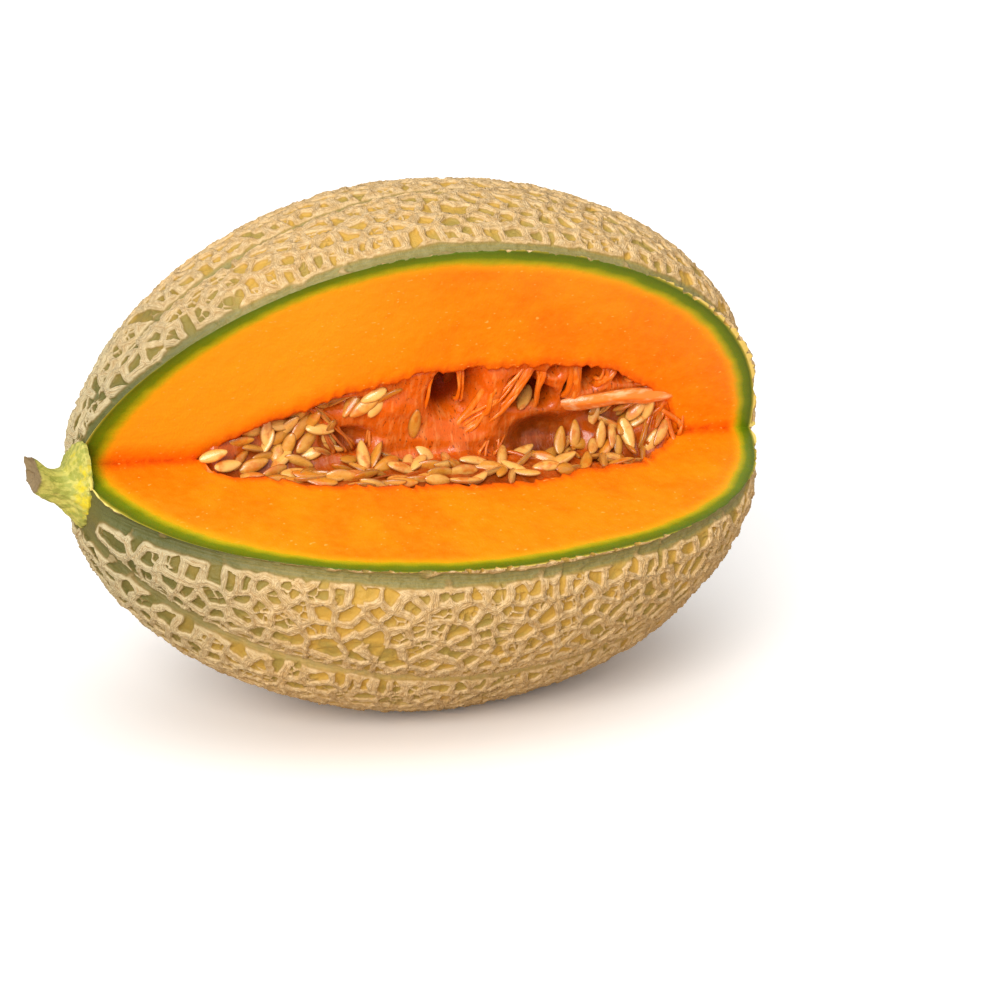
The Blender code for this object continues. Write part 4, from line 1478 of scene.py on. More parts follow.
@dataclass
class CutFlesh:
    """The two cut faces and the wall of the seed cavity between them, in one sheet."""

    form: MelonForm
    face_steps: int = 90
    wall_steps: int = 30
    rim_bias: float = 1.5
    rim_blend: float = 0.0018
    upper_teeth: float = 0.0018
    lower_teeth: float = 0.0026
    tooth_length: float = 0.0034
    edge_sway: float = 0.001
    edge_nicks: float = 0.0004
    cut_wave: float = 0.00045
    cut_grain: float = 0.00007
    wall_lumps: float = 0.0005
    opening: float = 0.004
    seed: int = 19
    noise: Noise = field(init=False)

    def __post_init__(self) -> None:
        """Makes the noise."""
        self.noise = Noise(self.seed)

    def edge_wave(self, x: Array, side: CutSide) -> Array:
        """How ragged the cavity's edge is on one cut face.

        Args:
            x: Places along the axis.
            side: Which face it is.

        Returns:
            Distances added to the edge's reach.
        """
        upper = side is CutSide.UPPER
        noise = Noise(self.seed + (1 if upper else 2))
        line = np.stack([x, np.zeros_like(x), np.zeros_like(x)], axis=-1)
        deep = self.upper_teeth if upper else self.lower_teeth
        teeth = deep * (np.abs(noise.at(line, self.tooth_length)) - 0.4)
        return teeth + self.edge_sway * noise.at(line, 0.011) + self.edge_nicks * noise.at(line, 0.0012)

    def face(self, x: Array, degrees: Array, rim: Array, side: CutSide) -> tuple[Array, Array]:
        """One cut face, from the rind's edge to the cavity's.

        Args:
            x: The rows' places along the axis.
            degrees: The face's angle at each.
            rim: The rind's edge at each.
            side: Which face it is.

        Returns:
            Its points, row by row, and the cavity's edge.
        """
        form = self.form
        corner = form.cut_corner(x)
        steps = np.linspace(0.0, 1.0, self.face_steps) ** self.rim_bias
        reach = form.cavity_edge(x, degrees)
        open_here = smoothstep(0.0, self.opening, reach)
        reach = np.maximum(reach + open_here * self.edge_wave(x, side), 0.0)
        reach = np.minimum(reach, 0.85 * form.cut_reach(x, degrees))
        inner = corner + heading(degrees) * reach[:, None]
        plain_rim = corner + heading(degrees) * form.cut_reach(x, degrees)[:, None]
        points = plain_rim[:, None] + (inner - plain_rim)[:, None] * steps[None, :, None]
        from_rim = np.linalg.norm(points - plain_rim[:, None], axis=-1)
        hold = np.clip(1.0 - from_rim / self.rim_blend, 0.0, 1.0)
        points = points + (rim - plain_rim)[:, None] * hold[..., None]
        wave = self.noise.layered(points, 0.022, 2) * self.cut_wave
        wave = wave + self.noise.at(points, 0.0031) * self.cut_grain
        room = np.minimum(steps, 1.0 - steps) * 12.0
        away = heading(degrees + (90.0 if side is CutSide.UPPER else -90.0))
        return points + away[:, None] * (wave * np.minimum(room, 1.0))[..., None], inner

    def wall(self, x: Array, upper_edge: Array, lower_edge: Array) -> Array:
        """The cavity's wall between the two faces.

        Args:
            x: The rows' places along the axis.
            upper_edge: The cavity's edge on the upper face.
            lower_edge: The cavity's edge on the lower face.

        Returns:
            Its points, row by row.
        """
        form = self.form
        middle, corner = form.cavity_axis(x), form.cut_corner(x)
        from_angle = angle_of(upper_edge - middle)
        to_angle = angle_of(lower_edge - middle)
        to_angle = to_angle + 360.0 * (to_angle < from_angle)
        share = np.linspace(0.0, 1.0, self.wall_steps + 2)[1:-1]
        angles = from_angle[:, None] + (to_angle - from_angle)[:, None] * share[None, :]
        radius = form.cavity_radius(x[:, None], angles)
        wall = middle[:, None] + heading(angles) * radius[..., None]
        wall[..., 0] = x[:, None]
        lump = self.noise.layered(wall, 0.004, 2)
        wall = wall + heading(angles) * (self.wall_lumps * lump)[..., None]
        opened = smoothstep(0.0, self.opening, np.linalg.norm(lower_edge - corner, axis=-1))
        closed = np.broadcast_to(corner[:, None], wall.shape)
        return mixed(closed, wall, np.broadcast_to(opened[:, None], wall.shape[:2]))

    def build(self, rows: dict[str, Array]) -> Piece:
        """Builds the sheet from the rind's rows.

        Args:
            rows: The rind's rows, as it gives them.

        Returns:
            The piece.
        """
        keep = rows["cut"]
        x = rows["x"][keep]
        lower, upper = self.form.cut_degrees(x)
        upper_face, upper_edge = self.face(x, upper, rows["upper"][keep], CutSide.UPPER)
        lower_face, lower_edge = self.face(x, lower, rows["lower"][keep], CutSide.LOWER)
        wall = self.wall(x, upper_edge, lower_edge)
        points = np.concatenate([upper_face, wall, lower_face[:, ::-1]], axis=1)
        from_upper = np.linalg.norm(upper_face - upper_edge[:, None], axis=-1) / MM
        from_lower = np.linalg.norm(lower_face - lower_edge[:, None], axis=-1) / MM
        inner = np.concatenate([from_upper, np.zeros(wall.shape[:2]), from_lower[:, ::-1]], axis=1).ravel()
        flat = points.reshape(-1, 3)
        quads = grid_faces(np.arange(len(flat)).reshape(points.shape[:2]))
        quads = quads[face_areas(flat, quads) > SMALLEST_FACE]
        depth = self.form.skin_depth(flat) / MM
        depth = depth / (1.0 + 0.35 * smoothstep(-0.055, -0.1, flat[:, 0]))
        above = smoothstep(0.0, 0.006, flat[:, 2] - self.form.cut_corner(flat[:, 0])[:, 2])
        leftward = above * smoothstep(0.005, -0.05, flat[:, 0]) * smoothstep(2.0, 9.0, inner)
        values = {"depth_mm": np.maximum(depth, 0.0), "inner_mm": inner, "leftward": leftward}
        return make_piece("orange_flesh", flat, [quads], values)


# The pulp and its seeds


@dataclass(frozen=True)
class Hollow:
    """A dent or a swelling of the pulp's open face."""

    x: float
    share: float
    along: float
    across: float
    rise: float

    def off_square(self, x: Array, share: Array) -> Array:
        """How far places lie from its middle, as squares of its own reach."""
        return ((x - self.x) / self.along) ** 2 + ((share - self.share) / self.across) ** 2


@dataclass(frozen=True)
class Strings:
    """Strings that run between two stretches of the pulp's open face."""

    count: int
    top: Pair
    top_share: Pair
    foot: Pair
    foot_share: Pair
    radius: Pair
    lift: float


@dataclass(frozen=True)
class SeedPatch:
    """A patch of the pulp's open face with seeds on it."""

    count: int
    x: Pair
    share: Pair
    turn: float
    turn_spread: float
    lean: float = 0.35
    roll: float = 20.0
    apart: float = 0.004
    lift: float = 0.0004


@dataclass
class SeedPulp:
    """The soft pulp in the cavity: an uneven web with hollows, strings and one pale fold."""

    form: MelonForm
    seed: int = 23
    cell: float = 0.0006
    thickness: float = 0.004
    start: float = -0.0745
    end: float = 0.085
    end_sink: float = 0.009
    face_grid: tuple[int, int] = (300, 120)
    lumps: float = 0.001
    grain: float = 0.00025
    string_sides: int = 10
    string_steps: int = 22
    string_bed: float = 0.0012
    string_root: float = 0.0016
    # Depths behind the cut where the painted shade deep down is full and where it is gone.
    deep_to_front: Pair = (-0.0105, -0.002)
    hollows: tuple[Hollow, ...] = tuple(
        Hollow(*row)
        for row in (
            (-0.053, 0.74, 0.02, 0.22, -0.0038),
            (-0.048, 0.42, 0.02, 0.14, -0.0028),
            (-0.034, 0.86, 0.01, 0.08, -0.0045),
            (-0.027, 0.56, 0.008, 0.08, -0.005),
            (-0.012, 0.72, 0.0085, 0.17, 0.0022),
            (-0.006, 0.44, 0.012, 0.07, -0.003),
            (0.005, 0.85, 0.007, 0.15, -0.0135),
            (0.0165, 0.76, 0.005, 0.22, 0.0024),
            (0.0275, 0.83, 0.006, 0.085, -0.015),
            (0.0355, 0.77, 0.003, 0.05, -0.012),
            (0.0362, 0.93, 0.0022, 0.03, -0.008),
            (0.042, 0.82, 0.0015, 0.06, -0.01),
            (0.048, 0.9, 0.004, 0.07, -0.013),
            (0.0585, 0.94, 0.0042, 0.04, -0.009),
            (0.068, 0.94, 0.0044, 0.04, -0.008),
            (0.037, 0.5, 0.012, 0.13, -0.0085),
            (0.058, 0.62, 0.012, 0.09, -0.005),
            (0.018, 0.44, 0.008, 0.06, -0.003),
            (0.06, 0.36, 0.014, 0.13, -0.0034),
        )
    )
    # Zones of painted shade, where the pulp lies among seeds and hollows that would shade it.
    shade_zones: tuple[Hollow, ...] = tuple(
        Hollow(*row)
        for row in (
            (-0.056, 0.8, 0.024, 0.26, 1.0),
            (-0.052, 0.4, 0.024, 0.2, 0.95),
            (-0.03, 0.54, 0.012, 0.12, 0.8),
            (-0.02, 0.2, 0.03, 0.2, 0.9),
            (0.01, 0.2, 0.03, 0.2, 0.9),
            (0.036, 0.46, 0.016, 0.22, 1.0),
            (0.06, 0.45, 0.018, 0.26, 0.85),
            (0.055, 0.93, 0.02, 0.06, 0.7),
        )
    )
    strings: tuple[Strings, ...] = tuple(
        Strings(*row)
        for row in (
            (17, (0.018, 0.03), (0.94, 1.0), (0.006, 0.017), (0.48, 0.64), (0.0005, 0.0011), 0.0026),
            (4, (0.031, 0.033), (0.92, 0.99), (0.031, 0.034), (0.68, 0.74), (0.0004, 0.0008), 0.0004),
            (5, (0.0395, 0.0445), (0.94, 1.0), (0.04, 0.046), (0.72, 0.78), (0.0009, 0.0015), 0.001),
            (10, (0.051, 0.058), (0.96, 1.0), (0.05, 0.056), (0.82, 0.87), (0.0005, 0.0009), 0.0008),
            (9, (0.06, 0.076), (0.97, 1.0), (0.06, 0.074), (0.87, 0.9), (0.0005, 0.0009), 0.0006),
            (8, (-0.022, -0.005), (0.95, 1.0), (-0.024, -0.005), (0.46, 0.6), (0.0004, 0.0007), 0.0001),
            (4, (-0.005, -0.002), (0.95, 1.0), (-0.006, -0.003), (0.66, 0.74), (0.0004, 0.0008), 0.0004),
            (3, (0.004, 0.008), (0.95, 1.0), (0.003, 0.009), (0.76, 0.8), (0.0003, 0.0005), 0.0),
            (14, (0.071, 0.083), (0.62, 0.92), (0.067, 0.082), (0.36, 0.56), (0.0005, 0.0009), 0.001),
            (5, (0.018, 0.024), (0.52, 0.6), (0.014, 0.022), (0.36, 0.44), (0.0004, 0.0007), 0.0002),
            (5, (-0.04, -0.03), (0.74, 0.86), (-0.034, -0.024), (0.46, 0.56), (0.0004, 0.0006), -0.0002),
            (9, (-0.04, 0.04), (0.3, 0.44), (-0.04, 0.046), (0.14, 0.24), (0.0004, 0.0007), 0.001),
        )
    )

    def rise(self, x: Array, share: Array, points: Array) -> Array:
        """How far the pulp stands out of its plain open face.

        Args:
            x: Places along the axis.
            share: Places across the face.
            points: The plain face's points there.

        Returns:
            Distances, negative in hollows.
        """
        noise = Noise(self.seed)
        total = self.lumps * noise.layered(points, 0.009, 3) + self.grain * noise.at(points, 0.0011)
        for hollow in self.hollows:
            total = total + hollow.rise * np.exp(-(hollow.off_square(x, share) ** 2.0))
        ends = smoothstep(self.start, self.start + 0.007, x) * smoothstep(self.end, self.end - 0.012, x)
        edges = smoothstep(0.0, 0.06, share) * smoothstep(1.0, 0.97, share)
        return total * ends * (0.25 + 0.75 * edges) - self.end_sink * (1.0 - ends)

    def slab(self, bundle: Bundle) -> None:
        """Adds the web's sheet, thick enough to be one solid.

        Args:
            bundle: What it is added to.
        """
        x = np.linspace(self.start, self.end, self.face_grid[0])
        share = np.linspace(0.0, 1.0, self.face_grid[1])
        rows, columns = np.meshgrid(x, share, indexing="ij")
        plain, facing = self.form.hollow_target(rows, columns)
        front = plain + facing * self.rise(rows, columns, plain)[..., None]
        back = front - facing * self.thickness
        front_index = bundle.count + np.arange(rows.size).reshape(rows.shape)
        back_index = front_index + rows.size
        bundle.add(front.reshape(-1, 3), grid_faces(front_index), NO_TRIANGLES)
        quads = np.concatenate([grid_faces(back_index)[:, ::-1], self.border(front_index, back_index)])
        bundle.add(back.reshape(-1, 3), quads, NO_TRIANGLES)

    @staticmethod
    def border(front: Array, back: Array) -> Array:
        """The quads that join the edges of two grids.

        Args:
            front: The vertex numbers of the one.
            back: The vertex numbers of the other.

        Returns:
            The quads.
        """

        def around(index: Array) -> Array:
            """The numbers round a grid's edge, in order."""
            return np.concatenate([index[0], index[1:, -1], index[-1, -2::-1], index[-2:0:-1, 0]])

        a, b = around(front), around(back)
        return np.stack([np.roll(a, -1), a, b, np.roll(b, -1)], axis=-1)

    def string_paths(self) -> list[tuple[Array, Array]]:
        """Where the strings run.

        Returns:
            Each string's path and its radii.
        """
        rng = np.random.default_rng(self.seed)
        noise = Noise(self.seed + 1)
        steps = np.linspace(0.0, 1.0, self.string_steps)
        at_start, at_end = (np.exp(-way / 0.06) for way in (steps, 1.0 - steps))
        wide_start, wide_end = (np.exp(-way / 0.08) for way in (steps, 1.0 - steps))
        arch = np.sin(math.pi * steps)
        found = []
        for strings in self.strings:
            for _ in range(strings.count):
                top_x, foot_x = rng.uniform(*strings.top), rng.uniform(*strings.foot)
                top_share, foot_share = rng.uniform(*strings.top_share), rng.uniform(*strings.foot_share)
                x = top_x + (foot_x - top_x) * steps
                share = top_share + (foot_share - top_share) * steps
                plain, facing = self.form.hollow_target(x, np.clip(share, 0.0, 1.0))
                lift = strings.lift * arch * rng.uniform(0.2, 1.4) - self.string_bed
                path = plain + facing * (lift - self.string_root * (at_start + at_end))[:, None]
                shift = rng.uniform(0.0, 0.02, 3)
                path = noise.push(path + shift, 0.006, 0.0007) - shift
                radius = rng.uniform(*strings.radius)
                thick = 0.75 + 0.5 * rng.random() * arch + 0.9 * wide_start
                found.append((path, radius * thick + radius * 0.9 * wide_end))
        return found

    def build(self) -> Piece:
        """Builds the web as one closed mesh.

        Returns:
            The piece.
        """
        bundle = Bundle()
        self.slab(bundle)
        made = bundle.piece("seed_pulp_web")
        remesh = made.modifiers.new("fuse", "REMESH")
        remesh.mode = "VOXEL"
        remesh.voxel_size = self.cell
        remesh.use_smooth_shade = True
        soften = made.modifiers.new("soften", "SMOOTH")
        soften.factor = 0.5
        soften.iterations = 2
        bpy.context.view_layer.update()
        graph = bpy.context.evaluated_depsgraph_get()
        mesh = bpy.data.meshes.new_from_object(made.evaluated_get(graph))
        made.modifiers.clear()
        old = made.data
        made.data = mesh
        bpy.data.meshes.remove(old)
        mesh.name = "seed_pulp_web"
        self.mark_raised(mesh)
        mesh.shade_smooth()
        return made

    def build_strings(self) -> Piece:
        """Builds the strings, whose ends are sunk in the web.

        Returns:
            The piece.
        """
        bundle = Bundle()
        for path, radii in self.string_paths():
            bundle.add(*tube(path, radii, self.string_sides, bundle.count))
        made = bundle.piece("pulp_strings")
        self.mark_raised(made.data)
        return made

    def mark_raised(self, mesh: bpy.types.Mesh) -> None:
        """Writes for each vertex how far it stands out of the cavity, and how much painted shade the pulp
        gets there.

        Args:
            mesh: The mesh, which gets the values raised (0 deep down, 1 at the front), which sets the
                painted shade deep down, and the painted shade of the darker zones.
        """
        points = np.zeros(len(mesh.vertices) * 3, np.float32)
        mesh.vertices.foreach_get("co", points)
        points = points.reshape(-1, 3).astype(float)
        behind = self.behind_cut(points) + self.form.pulp_recess
        share = self.share_at(points)
        painted_shade = np.zeros(len(points))
        for patch in self.shade_zones:
            painted_shade = np.maximum(painted_shade, patch.rise * np.exp(-patch.off_square(points[:, 0], share)))
        mark(mesh, {"raised": smoothstep(*self.deep_to_front, behind), "painted_shade": painted_shade})

    def behind_cut(self, points: Array) -> Array:
        """How far points lie in front of the nearer cut face's level; negative behind it."""
        return np.minimum(*self.form.past_faces(points))

    def share_at(self, points: Array) -> Array:
        """About how far across the open face points lie, from its lower edge to its upper one.

        Args:
            points: The points.

        Returns:
            Shares from 0 to 1.
        """
        lower, upper = self.form.cut_degrees(points[:, 0])
        off = points - self.form.cut_corner(points[:, 0])
        to_upper, to_lower = (off * heading(upper)).sum(axis=1), (off * heading(lower)).sum(axis=1)
        side = np.where(angle_of(off) > 0.5 * (lower + upper), to_upper, -to_lower)
        return np.clip(0.5 + 0.5 * side / self.form.cavity_girth, 0.0, 1.0)


@dataclass
class PaleFold:
    """The smooth pale fold of pulp along the blossom end of the cavity."""

    pulp: SeedPulp
    start: Pair = (0.04, 0.715)
    end: Pair = (0.08, 0.84)
    start_half_width: float = 0.0042
    end_half_width: float = 0.0024
    half_height: float = 0.0023
    bow: float = 0.03
    bed: float = -0.0022
    lift: float = 0.0034
    steps: int = 60
    sides: int = 28
    seed: int = 41

    def build(self) -> Piece:
        """Builds the fold as a flattened tongue that ends in the pulp.

        Returns:
            The piece.
        """
        steps = np.linspace(0.0, 1.0, self.steps)
        x = self.start[0] + (self.end[0] - self.start[0]) * steps
        share = self.start[1] + (self.end[1] - self.start[1]) * steps
        share = share + self.bow * np.sin(math.pi * steps)
        plain, facing = self.pulp.form.hollow_target(x, share)
        lift = self.bed + self.lift * np.sin(math.pi * np.clip(steps * 1.02, 0.0, 1.0)) ** 0.5
        path = plain + facing * lift[:, None]
        along = np.gradient(path, axis=0)
        along /= np.linalg.norm(along, axis=1, keepdims=True)
        side = np.cross(facing, along)
        side /= np.linalg.norm(side, axis=1, keepdims=True)
        turn = full_turn(self.sides)
        swell = np.sqrt(np.clip(1.0 - (2.0 * steps - 1.0) ** 4, 0.02, 1.0)) * (0.7 + 0.3 * steps)
        wide = self.start_half_width + (self.end_half_width - self.start_half_width) * steps
        crown = 1.0 + 0.3 * np.exp(-((turn - 0.36 * math.pi) ** 2) / 0.18)
        ring = (
            np.cos(turn)[None, :, None] * side[:, None] * wide[:, None, None]
            + (np.sin(turn) * crown)[None, :, None] * facing[:, None] * self.half_height
        )
        points = Noise(self.seed).push(path[:, None] + ring * swell[:, None, None], 0.005, 0.0005)
        flat, quads, triangles = capped_rings(points, path[[0, -1]])
        # Painted shade: the underside of the fold is darkened, and its root end a little, where it sinks
        # into the pulp.
        under = np.append(np.tile(smoothstep(0.1, -0.7, np.sin(turn)), self.steps), [0.5, 0.5])
        tip = np.append(np.repeat(smoothstep(0.3, 0.0, steps), self.sides), [1.0, 0.0])
        values = {"raised": np.ones(len(flat)), "painted_shade": np.maximum(0.8 * under, 0.25 * tip)}
        return make_piece("pale_fold", flat, [quads, triangles], values)


@dataclass
class MelonSeeds:
    """The flat seeds that lie on the pulp and stand out of it."""

    pulp: SeedPulp
    surface: BVHTree
    seed: int = 31
    length: float = 0.01
    width: float = 0.0043
    thickness: float = 0.0019
    rings: int = 15
    sides: int = 18
    blunt_end: float = 0.02
    cup: float = 0.00035
    margin: float = 0.0003
    sizes: Pair = (0.86, 1.08)
    bedding: Pair = (-0.0004, 0.0009)
    probe_height: float = 0.012
    probe_reach: float = 0.034
    most_tries: int = 60
    # Depths behind the cut over which a seed's painted shade grows.
    shade_depth: Pair = (-0.0035, -0.012)
    fields: tuple[SeedPatch, ...] = tuple(
        SeedPatch(*row)
        for row in (
            (1, (-0.0712, -0.0698), (0.49, 0.54), 5.0, 3.0, 0.05, 5.0, 0.0, 0.0042),
            (1, (-0.0665, -0.065), (0.36, 0.42), 10.0, 3.0, 0.05, 5.0, 0.0, 0.0018),
            (1, (-0.042, -0.04), (0.86, 0.9), 22.0, 4.0, 0.1, 0.0, 0.004, 0.001),
            (1, (-0.052, -0.051), (0.62, 0.66), 95.0, 5.0, 0.1, 10.0, 0.004, 0.001),
            (1, (-0.028, -0.027), (0.94, 0.97), 62.0, 5.0, 0.1, 30.0, 0.004, 0.0012),
            (1, (-0.024, -0.023), (0.82, 0.86), 35.0, 5.0, 0.1, 45.0, 0.004, 0.0012),
            (1, (-0.0245, -0.0235), (0.42, 0.44), 68.0, 5.0, 0.1, 5.0, 0.004, 0.0012),
            (1, (-0.008, -0.007), (0.66, 0.7), 84.0, 5.0, 0.1, 5.0, 0.004, 0.0002),
            (1, (0.0415, 0.0435), (0.44, 0.5), 62.0, 3.0, 0.05, 3.0, 0.0, 0.0052),
            (1, (0.045, 0.0462), (0.46, 0.52), 74.0, 3.0, 0.05, 30.0, 0.0, 0.004),
            (9, (-0.068, -0.04), (0.34, 0.5), 5.0, 25.0, 0.4, 40.0),
            (19, (-0.066, -0.032), (0.64, 1.0), 28.0, 32.0, 0.5, 35.0, 0.0034),
            (12, (-0.062, -0.03), (0.48, 0.68), 50.0, 60.0, 0.7, 40.0, 0.0034),
            (5, (-0.032, -0.016), (0.82, 1.0), 50.0, 22.0, 0.5, 40.0),
            (26, (-0.056, 0.004), (0.05, 0.3), -12.0, 14.0, 0.3, 58.0, 0.003),
            (11, (-0.028, 0.004), (0.26, 0.44), 20.0, 55.0, 0.5, 20.0),
            (7, (0.001, 0.009), (0.76, 0.94), 80.0, 30.0, 0.5, 25.0, 0.0028),
            (15, (0.002, 0.04), (0.06, 0.34), 35.0, 45.0, 0.5, 30.0),
            (3, (0.026, 0.034), (0.74, 0.86), 70.0, 40.0, 0.6, 30.0),
            (3, (0.028, 0.038), (0.36, 0.46), 20.0, 50.0),
            (27, (0.044, 0.076), (0.12, 0.5), 62.0, 36.0, 0.5, 30.0, 0.0036),
            (13, (0.054, 0.08), (0.46, 0.72), 72.0, 35.0, 0.5, 35.0, 0.0036),
        )
    )

    def shape(self) -> tuple[Array, Array]:
        """One seed: a flat drop, pointed at one end.

        Returns:
            Its points, ring by ring, and how near each is to the rim.
        """
        place = -np.cos(np.linspace(self.blunt_end, math.pi - self.blunt_end, self.rings))
        wide = 0.5 * self.width * (1.0 - np.abs(place) ** 2.3) ** 0.62
        wide *= 1.0 - 0.22 * smoothstep(0.2, -1.0, place)
        thick = 0.5 * self.thickness * (1.0 - place**2) ** 0.5
        turn = full_turn(self.sides)
        up = np.sign(np.sin(turn)) * np.abs(np.sin(turn)) ** 1.25
        along = np.broadcast_to(0.5 * self.length * place[:, None], (self.rings, self.sides))
        points = np.stack([along, wide[:, None] * np.cos(turn), thick[:, None] * up], axis=-1)
        rim = np.abs(np.cos(turn))[None, :] ** 6 * np.ones((self.rings, 1))
        rim = np.maximum(rim, smoothstep(0.86, 1.0, np.abs(place))[:, None])
        return points.reshape(-1, 3), rim.ravel()

    def clear_of_flesh(self, points: Array) -> bool:
        """Whether points are clear of the flesh, in the cavity or out in the cut-away wedge.

        Args:
            points: The points.

        Returns:
            Whether all of them are.
        """
        form = self.pulp.form
        from_middle = points - form.cavity_axis(points[:, 0])
        room = form.cavity_radius(points[:, 0], angle_of(from_middle)) - self.margin
        inside = np.hypot(from_middle[:, 1], from_middle[:, 2]) < room
        above, below = form.past_faces(points)
        return bool((inside | ((above > self.margin) & (below > self.margin))).all())

    def turned(self, patch: SeedPatch, facing: Array, normal: Array, rng: np.random.Generator) -> Array:
        """How one seed is turned in space.

        Args:
            patch: The patch that it lies in.
            facing: The way the pulp's plain face looks there.
            normal: The way the uneven pulp looks there.
            rng: Where the random numbers come from.

        Returns:
            A matrix whose columns are the seed's length, width and thickness.
        """
        ahead_x = np.array([1.0, 0.0, 0.0])
        up = 0.45 * normal + 0.55 * facing + rng.normal(0.0, patch.lean, 3) * 0.6
        up /= np.linalg.norm(up)
        turn = math.radians(patch.turn + rng.normal(0.0, patch.turn_spread))
        across = np.cross(facing, ahead_x)
        across /= np.linalg.norm(across)
        if across[2] < 0.0:
            across = -across
        ahead = ahead_x * math.cos(turn) + across * math.sin(turn)
        ahead *= rng.choice((-1.0, 1.0))
        ahead -= up * (ahead @ up)
        ahead /= np.linalg.norm(ahead)
        roll = math.radians(rng.normal(0.0, patch.roll))
        up = up * math.cos(roll) + np.cross(up, ahead) * math.sin(roll)
        return np.stack([ahead, np.cross(up, ahead), up], axis=1)

    def places(self) -> list[tuple[Array, Array, float]]:
        """Where the seeds lie.

        Returns:
            Each seed's turn in space, its middle and its tint.
        """
        rng = np.random.default_rng(self.seed)
        outline = self.shape()[0][:: self.sides // 3]
        found: list[tuple[Array, Array, float]] = []
        for patch in self.fields:
            wanted, tries = patch.count, patch.count * self.most_tries
            while wanted and tries:
                tries -= 1
                x, share = rng.uniform(*patch.x), rng.uniform(*patch.share)
                targets, facings = self.pulp.form.hollow_target(np.array([x]), np.array([share]))
                target, facing = targets[0], facings[0]
                origin = Vector(target + facing * self.probe_height)
                hit, normal, _, _ = self.surface.ray_cast(origin, Vector(-facing), self.probe_reach)
                if hit is None:
                    continue
                basis = self.turned(patch, facing, np.array(normal), rng)
                middle = np.array(hit) + facing * (patch.lift + rng.uniform(*self.bedding))
                if not self.clear_of_flesh(outline @ basis.T + middle):
                    continue
                if any(np.linalg.norm(middle - other[1]) < patch.apart for other in found):
                    continue
                found.append((basis, middle, rng.random()))
                wanted -= 1
        return found

    def build(self) -> Piece:
        """Builds all seeds as one mesh.

        Returns:
            The piece.
        """
        rng = np.random.default_rng(self.seed + 1)
        shape, rim = self.shape()
        bundle = Bundle()
        for basis, middle, tint in self.places():
            seed = shape * rng.uniform(*self.sizes)
            seed[:, 2] += self.cup * (seed[:, 0] / (0.5 * self.length)) ** 2 * rng.choice((-1.0, 1.0))
            rings = (seed @ basis.T + middle).reshape(self.rings, self.sides, 3)
            bundle.add(
                *capped_rings(rings, rings[[0, -1]].mean(axis=1), bundle.count),
                tint=tint,
                # The seed's painted shade, by how deep it lies.
                deep=smoothstep(*self.shade_depth, self.pulp.behind_cut(middle[None])),
                rim=np.append(rim, [1.0, 1.0]),
            )
        return bundle.piece("melon_seeds")


# The stem


@dataclass
class Stem:
    """The short cut stalk with its flared foot."""

    form: MelonForm
    foot_radius: float = 0.0112
    neck_radius: float = 0.0044
    length: float = 0.0138
    seat: float = 0.0014
    rise: float = 0.0066
    lean: float = -0.002
    middle: Pair = (0.0046, 0.0008)
    under_flare: float = 0.36
    lobe_height: float = 0.004
    lobe_angle: float = 62.0
    lobe_spread: float = 34.0
    lobe_reach: float = 0.22
    flare_reach: float = 0.15
    tip_swell: float = 0.0006
    ridges: int = 5
    ridge_depth: float = 0.11
    fibres: float = 23.0
    fibre_depth: float = 0.025
    sunk_share: float = 0.1
    tip_dip: float = 0.0014
    rings: int = 70
    tip_rings: int = 12
    sides: int = 96
    seed: int = 51

    def radii(self, grown: Array, turn: Array) -> Array:
        """The stalk's radius, with its flared foot, its lobe, its ridges and its fibres.

        Args:
            grown: How far along the stalk each ring is, from 0 at the foot to 1 at the cut.
            turn: The angles round it, in degrees.

        Returns:
            The radius at each ring and angle.
        """
        grown, turn = grown[:, None], turn[None, :]
        under = (0.5 - 0.5 * np.sin(np.radians(turn))) ** 1.5
        flare = np.exp(-grown / (self.flare_reach + (self.under_flare - self.flare_reach) * under))
        radius = self.neck_radius + (self.foot_radius - self.neck_radius) * flare
        radius = radius + self.tip_swell * grown**3
        off = (turn - self.lobe_angle + 180.0) % 360.0 - 180.0
        lobe = np.exp(-((off / self.lobe_spread) ** 2)) * np.exp(-((grown / self.lobe_reach) ** 4))
        ridge = self.ridge_depth * np.cos(np.radians(self.ridges * turn + 20.0)) * (0.35 + 0.65 * grown)
        fibre = self.fibre_depth * np.cos(np.radians(self.fibres * turn))
        return (radius + self.lobe_height * lobe) * (1.0 + ridge + fibre)

    def build(self) -> Piece:
        """Builds the stalk: a ridged tube with a flared foot and a hollowed, fibrous cut end.

        Returns:
            The piece.
        """
        noise = Noise(self.seed)
        share = np.linspace(-self.sunk_share, 1.0, self.rings)
        inner = np.linspace(0.97, 0.04, self.tip_rings)
        turn = 360.0 * np.arange(self.sides) / self.sides
        grown = np.maximum(share, 0.0)
        x = -self.form.half_length + self.seat - share * self.length
        y = self.middle[0] + self.lean * grown**1.5
        z = self.middle[1] + self.rise * grown**1.6
        path = np.stack([x, y, z], axis=-1)
        points = path[:, None] + heading(turn)[None] * self.radii(grown, turn)[..., None]
        points = noise.push(noise.push(points, 0.006, 0.0006), 0.0016, 0.00022)
        cap = path[-1] + (points[-1] - path[-1])[None] * inner[:, None, None]
        cap[..., 0] += self.tip_dip * (1.0 - inner**4)[:, None] + 0.0004 * noise.at(cap, 0.0009)
        points = np.concatenate([points, cap], axis=0)
        index = np.arange(points[..., 0].size).reshape(points.shape[:2])
        quads = grid_faces(np.concatenate([index, index[:, :1]], axis=1))
        last = np.stack([index[-1], np.roll(index[-1], -1), np.full(self.sides, index.size)], axis=-1)
        flat = np.concatenate([points.reshape(-1, 3), cap[-1].mean(axis=0)[None]])
        cork = np.concatenate([smoothstep(0.93, 1.0, share), np.ones(len(inner))])
        foot = np.concatenate([smoothstep(0.35, 0.05, share), np.zeros(len(inner))])
        values = {
            "cork": np.append(np.repeat(cork, self.sides), 1.0),
            "foot": np.append(np.repeat(foot, self.sides), 0.0),
        }
        return make_piece("stalk", flat, [quads, last], values)


# The set


